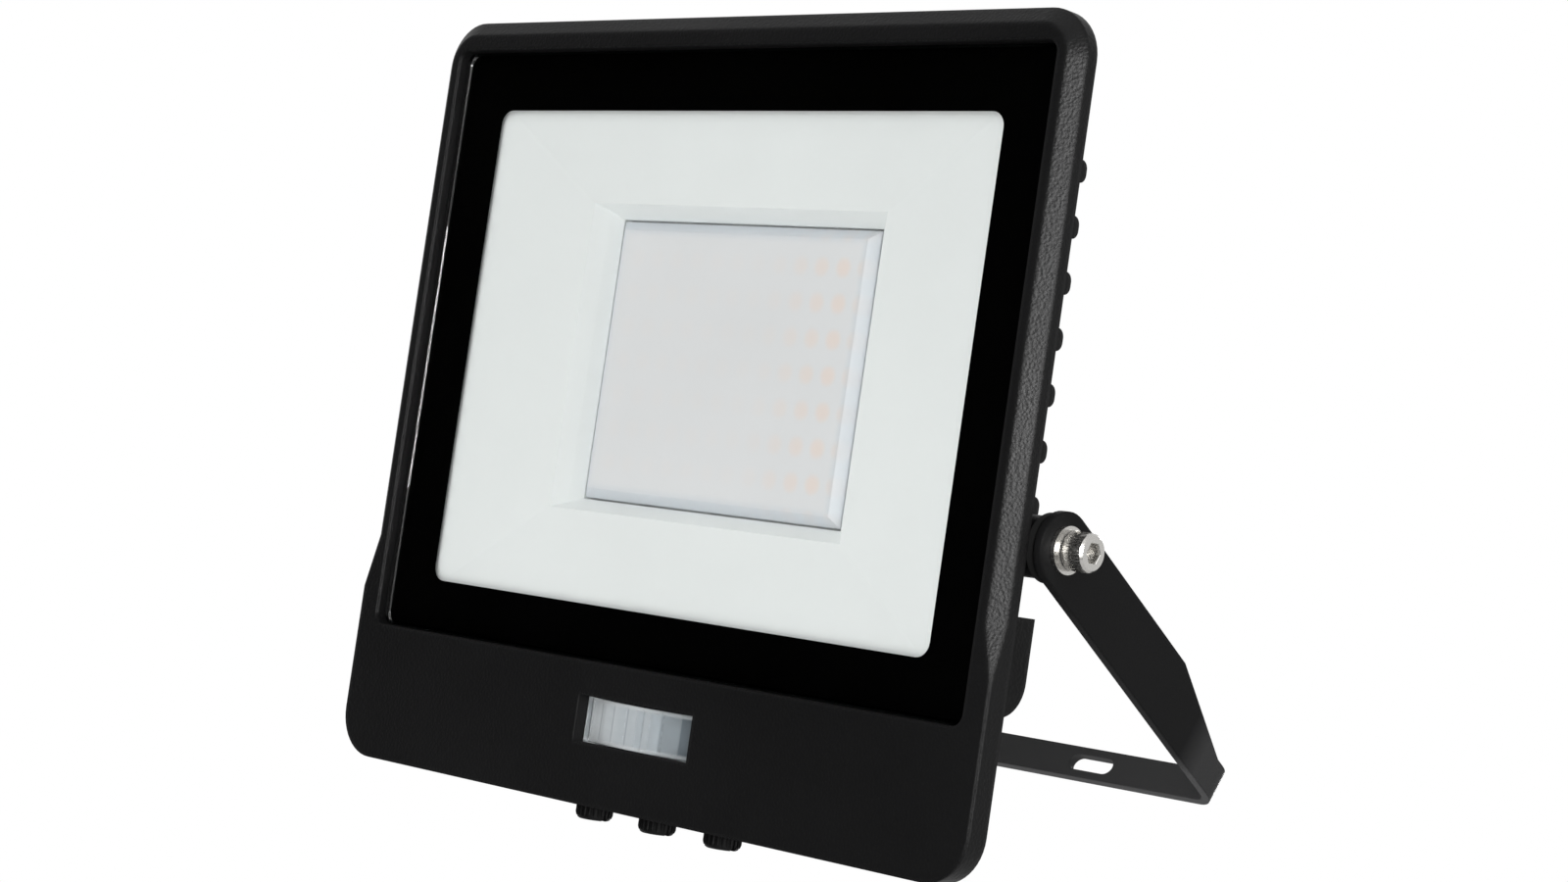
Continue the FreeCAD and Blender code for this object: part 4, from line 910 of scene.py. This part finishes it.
class FLOODLIGHT_OT_window(bpy.types.Operator):
    """Clears the glass and prints its black border"""

    bl_idname = "floodlight.window"
    bl_label = "Window"

    def execute(self, context):
        sizes = settings()[1]
        dress("front_glass", clear_glass())
        front = sizes.border_depth / MM
        back = front + sizes.border_thickness / MM
        edge = (GLASS["left"] + 0.4, GLASS["right"] - 0.4, GLASS["low"] + 0.4, GLASS["high"] - 0.4, 2.8)
        window = (-80.0, 80.0, -57.9, 57.9, 3.5)
        mesh = bmesh.new()
        loops = [
            rounded_loop(*outline, y) for outline, y in ((edge, front), (edge, back), (window, back), (window, front))
        ]
        skin(mesh, loops, closed=True)
        enamel = grained(
            "border_enamel", (0.0006, 0.0006, 0.0006), (0.001, 0.001, 0.001), 0.8, 900.0, 0.00001, Specular_IOR_Level=0.0
        )
        carry(make_piece("border_print", mesh, HEAD, enamel), "head", "plastic_black")
        return {"FINISHED"}


class FLOODLIGHT_OT_light_source(bpy.types.Operator):
    """Whitens the reflector and builds the light points under their milky cover"""

    bl_idname = "floodlight.light_source"
    bl_label = "Light Source"

    def execute(self, context):
        colors = settings()[0]
        dress(
            "reflector",
            grained(
                "reflector_white",
                [c * 0.97 for c in colors.reflector],
                colors.reflector,
                0.6,
                1200.0,
                0.00003,
                Specular_IOR_Level=0.08,
            ),
        )
        dress("led_cover", milky_cover(colors))
        dress("led_board", shared("white_board", white_board))
        dress("board_screws", shared("zinc_screw", zinc))
        package = grained("chip_package", (0.66, 0.65, 0.6), (0.72, 0.71, 0.66), 0.4, 4000.0, 0.00001)
        phosphor = grained("chip_phosphor", (0.72, 0.46, 0.06), (0.8, 0.54, 0.1), 0.5, 6000.0, 0.00002)
        spots = [((c - 5) * 6.6, (r - 3) * 8.1, -14.9) for c in range(11) for r in range(7)]
        rim = ring(1.35, 1.0, 0.0, 0.3, 2)
        for name, finish, loops in (
            ("chip_packages", package, self.package_loops()),
            ("chip_lenses", phosphor, [rim, [p * 0.9 + Vector((0, 0.06, 0)) for p in rim]]),
        ):
            mesh = bmesh.new()
            skin(mesh, [[Vector((p.x, p.z, p.y)) for p in loop] for loop in loops], capped=True)
            pattern = template(name + "_pattern", mesh)
            lift = 0.0 if name == "chip_packages" else 0.63
            host = host_of_spots(name, [(x, y, z + lift) for x, y, z in spots])
            run_tree("spots", host, Template=pattern, Size=1.0, Turn=0.0, Seed=1, Finish=finish)
            drop(pattern)
            settle(host, FORWARDS)
            carry(host, "head", "chip_phosphor", "led_chips")
        return {"FINISHED"}

    @staticmethod
    def package_loops():
        """White package with a shallow well for the phosphor."""
        return [
            ring(1.75, 1.4, 0.0, 0.15, 2),
            ring(1.75, 1.4, 0.66, 0.15, 2),
            ring(1.7, 1.35, 0.7, 0.15, 2),
            ring(1.42, 1.07, 0.7, 0.3, 2),
            ring(1.35, 1.0, 0.6, 0.3, 2),
        ]


class FLOODLIGHT_OT_sensor(bpy.types.Operator):
    """Builds the faceted lens of the motion sensor and finishes what is behind it"""

    bl_idname = "floodlight.sensor"
    bl_label = "Motion Sensor"

    def execute(self, context):
        colors, sizes, _ = settings()
        milky = lens_finish(colors, sizes)
        mesh = bmesh.new()
        self.add_crown(mesh, sizes)
        self.add_rim(mesh)
        lens = make_piece("sensor_lens", mesh, HEAD, milky, smooth=32.0)
        carry(lens, "head", "lens_milky", "pir_lens")
        dress("pir_holder", shared("black_nylon", nylon))
        dress("pyro_sensor", steel("sensor_can", (3000.0, 3000.0, 3000.0), 0.3, (0.6, 0.58, 0.52)))
        dress("sensor_board", shared("green_board", green_board))
        dress("sensor_board_screws", shared("zinc_screw", zinc))
        dress("shaft_seal", shared("seal_rubber", rubber))
        blue = grained("setting_blue", (0.012, 0.05, 0.22), (0.02, 0.07, 0.28), 0.45, 2500.0, 0.00002)
        for name in ("sens", "time", "lux"):
            dress("pot_" + name, blue)
        return {"FINISHED"}

    @staticmethod
    def add_crown(mesh, sizes):
        """Curved window of upright facets in three rows, with a wall behind it."""
        half_width, half_height, radius, crown = LENS_HALF_WIDTH, 5.0, 44.0, -2.0
        border = 0.75
        across, up = sizes.lens_facets * 10, 30
        facet = 2 * half_width / sizes.lens_facets
        row = 2 * (half_height - border) / 3
        relief = sizes.lens_relief / MM
        row_relief = sizes.lens_row_relief / MM

        def depth(x):
            return crown + radius - math.sqrt(radius * radius - x * x)

        def front(x, z):
            level = (z + half_height - border) / row
            if not 0.0 <= level <= 3.0:
                return depth(x)
            sway = 0.14 * math.cos(2 * math.pi * level)
            place = ((x + half_width + sway) / facet) % 1.0
            bulge = 4 * place * (1 - place)
            cell = level % 1.0
            return depth(x) + relief * (1 - bulge) + row_relief * (1 - 4 * cell * (1 - cell))

        levels = [-half_height, -half_height + border * 0.98]
        levels += [-half_height + border + (2 * (half_height - border)) * i / up for i in range(up + 1)]
        levels += [half_height - border * 0.98, half_height]
        columns = [-half_width + 2 * half_width * i / across for i in range(across + 1)]
        walls = []
        for surface in (front, lambda x, z: min(depth(x) + 1.3, 1.75) if abs(x) < 17.0 else 1.78):
            rows = []
            for z in levels:
                rows.append([mesh.verts.new(Vector((x, surface(x, z), z - LENS_DROP))) for x in columns])
            for low, high in zip(rows, rows[1:]):
                for i in range(across):
                    mesh.faces.new((low[i], low[i + 1], high[i + 1], high[i]))
            walls.append(rows)
        outer, inner = ([*r[0], *[q[-1] for q in r[1:]], *r[-1][-2::-1], *[q[0] for q in r[-2:0:-1]]] for r in walls)
        for i in range(len(outer)):
            after = (i + 1) % len(outer)
            mesh.faces.new((outer[i], outer[after], inner[after], inner[i]))

    @staticmethod
    def add_rim(mesh):
        """Flat flange that the holder presses against the panel from inside."""
        loops = []
        for half_width, half_height, y in ((18.2, 5.1, 0.65), (20.1, 7.0, 0.65), (20.1, 7.0, 1.78), (18.2, 5.1, 1.78)):
            loops.append([p + Vector((0, 0, -83.7)) for p in ring(half_width, half_height, y, 0.4, 2)])
        skin(mesh, loops, closed=True)


class FLOODLIGHT_OT_knobs(bpy.types.Operator):
    """Builds the three ridged setting knobs"""

    bl_idname = "floodlight.knobs"
    bl_label = "Setting Knobs"

    def execute(self, context):
        sizes = settings()[1]
        nylon_black = shared("black_nylon", nylon)
        ridge_mesh = bmesh.new()
        skin(ridge_mesh, lathe_loops(((0.05, 0.55), (0.3, 0.8), (0.3, 5.3), (0.05, 6.0)), 6), capped=True)
        ridge = template("knob_ridge", ridge_mesh)
        profile = ((1.95, -9.9), (1.95, 0.05), (3.6, 0.05), (4.02, 0.4), (4.02, 5.8), (3.75, 6.4), (3.3, 6.65), (0.0, 6.68))
        for name, x in (("sens", -21.0), ("time", 0.0), ("lux", 21.0)):
            mesh = bmesh.new()
            skin(mesh, lathe_loops(profile[:-1], 40), capped=True)
            slot_mesh = bmesh.new()
            corners = bmesh.ops.create_cube(slot_mesh, size=1.0)["verts"]
            bmesh.ops.scale(slot_mesh, vec=(9.2, 1.2, 2.8), verts=corners)
            bmesh.ops.translate(slot_mesh, vec=(0, 0, 6.7), verts=corners)
            host = template("knob_" + name + "_grip", mesh)
            cutter = template("knob_slot", slot_mesh)
            cut = host.modifiers.new("Slot", "BOOLEAN")
            cut.operation = "DIFFERENCE"
            cut.object = cutter
            flatten_modifiers(host)
            drop(cutter)
            run_tree(
                "ring", host, Template=ridge, Count=sizes.knob_ridges, Radius=4.05 * MM, Finish=nylon_black
            )
            down = HEAD @ Matrix.Translation(Vector((x, 10.0, -100.3)) * MM) @ Matrix.Rotation(math.pi, 4, "X")
            settle(host, down)
            finish_shading(host)
            carry(host, "knob_" + name, "plastic_black", "knob_" + name)
        drop(ridge)
        return {"FINISHED"}


def finish_shading(piece, angle=40.0):
    for face in piece.data.polygons:
        face.use_smooth = True
    piece.data.set_sharp_from_angle(angle=math.radians(angle))


class FLOODLIGHT_OT_pivot(bpy.types.Operator):
    """Builds the two pivot bolts and finishes the washers and discs on them"""

    bl_idname = "floodlight.pivot"
    bl_label = "Pivot"

    def execute(self, context):
        sizes = settings()[1]
        bright = shared("stainless_steel", stainless)
        fibre = grained("disc_fibre", (0.005, 0.005, 0.005), (0.009, 0.009, 0.0085), 0.7, 3200.0, 0.00006, Specular_IOR_Level=0.15)
        relief = sizes.knurl_height / MM
        knurl_mesh = bmesh.new()
        skin(knurl_mesh, lathe_loops(((0.03, 0.5), (relief, 0.75), (relief, 3.9), (0.03, 4.2)), 5), capped=True)
        knurl = template("bolt_knurl", knurl_mesh)
        for side, turn in (("right", 90.0), ("left", -90.0)):
            for node in ("flat_washer_", "spring_washer_"):
                dress(node + side, bright)
            dress("friction_disc_" + side, fibre)
            mesh = bmesh.new()
            self.add_bolt(mesh)
            host = template("pivot_bolt_" + side + "_steel", mesh)
            run_tree(
                "ring", host, Template=knurl, Count=sizes.bolt_ridges, Radius=4.02 * MM, Finish=bright
            )
            face = Matrix.Rotation(math.radians(turn), 4, "Y")
            sign = 1 if side == "right" else -1
            seat = Vector((sign * 105.0 * MM, PIVOT_IN_HEAD.y, PIVOT_IN_HEAD.z))
            settle(host, HEAD @ Matrix.Translation(seat) @ face)
            finish_shading(host)
            carry(host, "head", "stainless", "pivot_bolt_" + side)
        drop(knurl)
        return {"FINISHED"}

    @staticmethod
    def add_bolt(mesh):
        """Bolt along +Z with its head's seat at the origin, and a six-sided recess in its head."""
        outside = ((2.2, -16.8), (2.5, -16.4), (2.5, 0.0), (3.85, 0.0), (4.05, 0.25), (4.05, 4.45), (3.6, 4.95), (2.9, 5.0))
        sides = 48
        loops = lathe_loops(outside, sides)

        def six(radius, height):
            points = []
            for i in range(sides):
                turn = 2 * math.pi * i / sides
                sector = (turn + math.pi / 6) % (math.pi / 3) - math.pi / 6
                reach = radius * math.cos(math.pi / 6) / math.cos(sector)
                points.append(Vector((reach * math.cos(turn), reach * math.sin(turn), height)))
            return points

        loops += [six(2.45, 5.0), six(2.25, 4.75), six(2.25, 2.5), six(0.4, 2.3)]
        skin(mesh, loops, capped=True)


class FLOODLIGHT_OT_cover_screws(bpy.types.Operator):
    """Builds the pan head screws that hold the rear cover"""

    bl_idname = "floodlight.cover_screws"
    bl_label = "Cover Screws"

    def execute(self, context):
        bright = shared("stainless_steel", stainless)
        mesh = bmesh.new()
        profile = ((1.2, -8.0), (1.45, -7.6), (1.45, 0.0), (2.45, 0.0), (2.6, 0.25), (2.55, 0.95), (2.2, 1.5), (1.6, 1.74))
        skin(mesh, lathe_loops(profile, 32), capped=True)
        pattern = template("pan_head", mesh)
        cross_mesh = bmesh.new()
        for wide, tall in ((3.0, 0.8), (0.8, 3.0)):
            corners = bmesh.ops.create_cube(cross_mesh, size=1.0)["verts"]
            bmesh.ops.scale(cross_mesh, vec=(wide, tall, 2.0), verts=corners)
            bmesh.ops.translate(cross_mesh, vec=(0, 0, 1.9), verts=corners)
        cross = template("cross_recess", cross_mesh)
        cut = pattern.modifiers.new("Recess", "BOOLEAN")
        cut.operation = "DIFFERENCE"
        cut.use_self = True
        cut.object = cross
        flatten_modifiers(pattern)
        drop(cross)
        host = host_of_spots("cover_screws", [(x, -z, y) for x, y, z in SCREW_SPOTS])
        run_tree("spots", host, Template=pattern, Size=1.0, Turn=math.pi, Seed=4, Finish=bright)
        drop(pattern)
        settle(host, BACKWARDS)
        finish_shading(host)
        carry(host, "head", "stainless", "rear_cover_screws")
        return {"FINISHED"}


class FLOODLIGHT_OT_rear_fittings(bpy.types.Operator):
    """Builds the vent and the cap of the cable gland, and finishes the gland's other pieces"""

    bl_idname = "floodlight.rear_fittings"
    bl_label = "Rear Fittings"

    def execute(self, context):
        black = shared("black_nylon", nylon)
        for node in ("gland_body", "gland_nut"):
            dress(node, black)
        dress("gland_seal", shared("seal_rubber", rubber))
        self.add_vent(black)
        self.add_cap(black)
        return {"FINISHED"}

    @staticmethod
    def add_vent(black):
        mesh = bmesh.new()
        profile = ((2.2, -2.4), (2.35, -2.2), (2.35, 0.02), (3.6, 0.02), (3.7, 0.3), (3.6, 1.3), (3.2, 1.7), (1.6, 1.75), (1.4, 1.4))
        skin(mesh, lathe_loops(profile, 32), capped=True)
        host = template("vent_cap", mesh)
        tooth_mesh = bmesh.new()
        skin(tooth_mesh, lathe_loops(((0.1, 0.1), (0.3, 0.3), (0.3, 1.2), (0.1, 1.5)), 6), capped=True)
        tooth = template("vent_tooth", tooth_mesh)
        run_tree("ring", host, Template=tooth, Count=14, Radius=3.68 * MM, Finish=black)
        drop(tooth)
        settle(host, BACKWARDS @ Matrix.Translation(Vector((52.0, 83.0, 22.7)) * MM))
        finish_shading(host)
        carry(host, "head", "plastic_black", "vent_plug")

    @staticmethod
    def add_cap(black):
        """Six-sided cap with a round nose, a thread at one end and a mouth at the other."""
        sides = 48

        def section(hexagon, circle, height):
            points = []
            for i in range(sides):
                turn = 2 * math.pi * i / sides
                sector = (turn + math.pi / 6) % (math.pi / 3) - math.pi / 6
                flat = hexagon * math.cos(math.pi / 6) / math.cos(sector)
                reach = min(flat, circle)
                points.append(Vector((reach * math.cos(turn), reach * math.sin(turn), height)))
            return points

        loops = [
            section(6.2, 5.8, 0.02),
            section(6.2, 6.1, 0.4),
            section(6.2, 6.1, 5.6),
            section(6.2, 5.7, 6.1),
            section(6.6, 5.2, 6.6),
            section(6.6, 4.9, 7.4),
            section(6.6, 4.4, 8.5),
            section(6.6, 4.0, 8.95),
            section(6.6, 3.4, 8.98),
            section(6.6, 3.2, 8.7),
            section(6.6, 3.2, 6.2),
            section(6.6, 4.5, 6.0),
            section(6.6, 4.5, 0.3),
            section(6.6, 4.7, 0.02),
        ]
        mesh = bmesh.new()
        skin(mesh, loops, closed=True)
        place = BACKWARDS @ Matrix.Translation(Vector((0.0, 54.5, 38.4)) * MM)
        piece = make_piece("gland_cap_nose", mesh, place, black, smooth=30.0)
        carry(piece, "head", "plastic_black", "gland_cap")


class FLOODLIGHT_OT_driver(bpy.types.Operator):
    """Finishes the driver's board, its capacitor and its terminals"""

    bl_idname = "floodlight.driver"
    bl_label = "Driver"

    def execute(self, context):
        dress("driver_board", shared("green_board", green_board))
        dress("driver_screws", shared("zinc_screw", zinc))
        dress(
            "driver_capacitor",
            grained("capacitor_sleeve", (0.02, 0.02, 0.03), (0.035, 0.035, 0.05), 0.3, 1500.0, 0.00001),
        )
        dress(
            "terminal_block",
            grained("terminal_green", (0.02, 0.16, 0.05), (0.03, 0.2, 0.07), 0.45, 2500.0, 0.00002),
        )
        return {"FINISHED"}


class FLOODLIGHT_OT_stage(bpy.types.Operator):
    """Sets the floor, the lamps, the world and the camera"""

    bl_idname = "floodlight.stage"
    bl_label = "Stage"

    def execute(self, context):
        options = settings()[2]
        self.add_floor(options.floor_drop)
        self.add_world(options.sky)
        middle = HEAD.translation
        self.add_lamp("front_lamp", Vector((0.0, -1.0, 0.18)), middle, 1.2, options.front_power)
        self.add_lamp("low_lamp", Vector((0.0, -0.20, -0.42)), middle, 0.4, options.low_power)
        self.add_lamp("back_lamp", Vector((-0.5, 0.9, 0.7)), middle, 0.6, options.back_power)
        rim = self.add_lamp("rim_lamp", HEAD @ Vector((0.685, -0.47, 0.045)), HEAD @ Vector((0.102, 0.002, 0.0)), 0.3, options.rim_power)
        rim.visible_diffuse = False
        self.add_card()
        self.add_camera()
        context.scene.view_settings.view_transform = "Standard"
        return {"FINISHED"}

    @staticmethod
    def seen(tree):
        """1 for rays from the camera and for what shows in metal and glass, otherwise 0."""
        path = tree.nodes.new("ShaderNodeLightPath")
        first = math_node(tree, "MAXIMUM", path.outputs["Is Camera Ray"], path.outputs["Is Glossy Ray"])
        return math_node(tree, "MAXIMUM", first, path.outputs["Is Transmission Ray"])

    def add_floor(self, height):
        mesh = bmesh.new()
        bmesh.ops.create_grid(mesh, x_segments=1, y_segments=1, size=6.0)
        data = bpy.data.meshes.new("floor")
        mesh.to_mesh(data)
        mesh.free()
        data.transform(Matrix.Translation((0, 0, height)))
        floor = bpy.data.objects.new("floor", data)
        bpy.context.scene.collection.objects.link(floor)
        paint = bpy.data.materials.new("pale_floor")
        paint.use_nodes = True
        tree = paint.node_tree
        shader = tree.nodes["Principled BSDF"]
        shader.inputs["Base Color"].default_value = (0.82, 0.82, 0.82, 1.0)
        shader.inputs["Roughness"].default_value = 0.9
        shader.inputs["Specular IOR Level"].default_value = 0.0
        glow = tree.nodes.new("ShaderNodeEmission")
        mix = tree.nodes.new("ShaderNodeMixShader")
        share = math_node(tree, "MULTIPLY", self.seen(tree), 0.72)
        tree.links.new(share, mix.inputs["Fac"])
        tree.links.new(shader.outputs[0], mix.inputs[1])
        tree.links.new(glow.outputs[0], mix.inputs[2])
        tree.links.new(mix.outputs[0], tree.nodes["Material Output"].inputs["Surface"])
        data.materials.append(paint)

    def add_world(self, strength):
        world = bpy.data.worlds.new("studio")
        bpy.context.scene.world = world
        world.use_nodes = True
        tree = world.node_tree
        back = tree.nodes["Background"]
        back.inputs["Color"].default_value = (1.0, 1.0, 1.0, 1.0)
        span = tree.nodes.new("ShaderNodeMapRange")
        span.inputs["To Min"].default_value = strength
        span.inputs["To Max"].default_value = 1.0
        tree.links.new(self.seen(tree), span.inputs["Value"])
        tree.links.new(span.outputs["Result"], back.inputs["Strength"])

    @staticmethod
    def add_lamp(name, place, target, size, power):
        lamp = bpy.data.lights.new(name, "AREA")
        lamp.shape = "DISK"
        lamp.size = size
        lamp.energy = power
        made = bpy.data.objects.new(name, lamp)
        aim = (target - place).to_track_quat("-Z", "Y").to_matrix().to_4x4()
        made.matrix_world = Matrix.Translation(place) @ aim
        made.visible_camera = False
        bpy.context.scene.collection.objects.link(made)
        return made

    @staticmethod
    def add_card():
        """Black card that the glass and the flat panel mirror, so that their black stays deep."""
        image = CAMERA_SPOT * Vector((1, -1, 1))
        corners = []
        for x, z in ((-0.3, -0.4), (0.6, -0.4), (0.6, 0.18), (-0.3, 0.18)):
            point = Vector((x, 0, z))
            corners.append(HEAD @ (point + (point - image).normalized() * 0.34))
        mesh = bpy.data.meshes.new("black_card")
        mesh.from_pydata(corners, [], [(0, 1, 2, 3)])
        card = bpy.data.objects.new("black_card", mesh)
        bpy.context.scene.collection.objects.link(card)
        paint = bpy.data.materials.new("black_velvet")
        paint.use_nodes = True
        shader = paint.node_tree.nodes["Principled BSDF"]
        shader.inputs["Base Color"].default_value = (0.0, 0.0, 0.0, 1.0)
        shader.inputs["Specular IOR Level"].default_value = 0.0
        mesh.materials.append(paint)
        card.visible_camera = False
        card.visible_diffuse = False
        card.visible_shadow = False
        card.visible_transmission = False

    @staticmethod
    def add_camera():
        lens = bpy.data.cameras.new("camera")
        lens.lens = 72.0
        lens.sensor_width = 36.0
        lens.clip_start = 0.01
        camera = bpy.data.objects.new("camera", lens)
        axes = Matrix((CAMERA_RIGHT, -CAMERA_DOWN, -CAMERA_AHEAD)).transposed()
        camera.matrix_world = HEAD @ Matrix.Translation(CAMERA_SPOT) @ axes.to_4x4()
        bpy.context.scene.collection.objects.link(camera)
        bpy.context.scene.camera = camera


class FLOODLIGHT_PT_panel(bpy.types.Panel):
    """Buttons for every piece, with the sizes and colours under them"""

    bl_idname = "FLOODLIGHT_PT_panel"
    bl_label = "Motion Sensor Floodlight"
    bl_space_type = "VIEW_3D"
    bl_region_type = "UI"
    bl_category = "Floodlight"

    def draw(self, context):
        column = self.layout.column()
        for operator in OPERATORS:
            column.operator(operator.bl_idname)
        for group in settings():
            for name in group.__annotations__:
                column.prop(group, name)


OPERATORS = (
    FLOODLIGHT_OT_housing,
    FLOODLIGHT_OT_bracket,
    FLOODLIGHT_OT_window,
    FLOODLIGHT_OT_light_source,
    FLOODLIGHT_OT_sensor,
    FLOODLIGHT_OT_knobs,
    FLOODLIGHT_OT_pivot,
    FLOODLIGHT_OT_cover_screws,
    FLOODLIGHT_OT_rear_fittings,
    FLOODLIGHT_OT_driver,
    FLOODLIGHT_OT_stage,
)
SETTINGS = (
    ("floodlight_finishes", FloodlightFinishes),
    ("floodlight_sizes", FloodlightSizes),
    ("floodlight_stage", FloodlightStage),
)


def register():
    for name, group in SETTINGS:
        bpy.utils.register_class(group)
        setattr(bpy.types.Scene, name, bpy.props.PointerProperty(type=group))
    for item in (*OPERATORS, FLOODLIGHT_PT_panel):
        bpy.utils.register_class(item)


def unregister():
    for item in (FLOODLIGHT_PT_panel, *reversed(OPERATORS)):
        bpy.utils.unregister_class(item)
    for name, group in reversed(SETTINGS):
        delattr(bpy.types.Scene, name)
        bpy.utils.unregister_class(group)


def main():
    register()
    for operator in OPERATORS:
        family, name = operator.bl_idname.split(".")
        getattr(getattr(bpy.ops, family), name)()


if __name__ == "__main__":
    main()
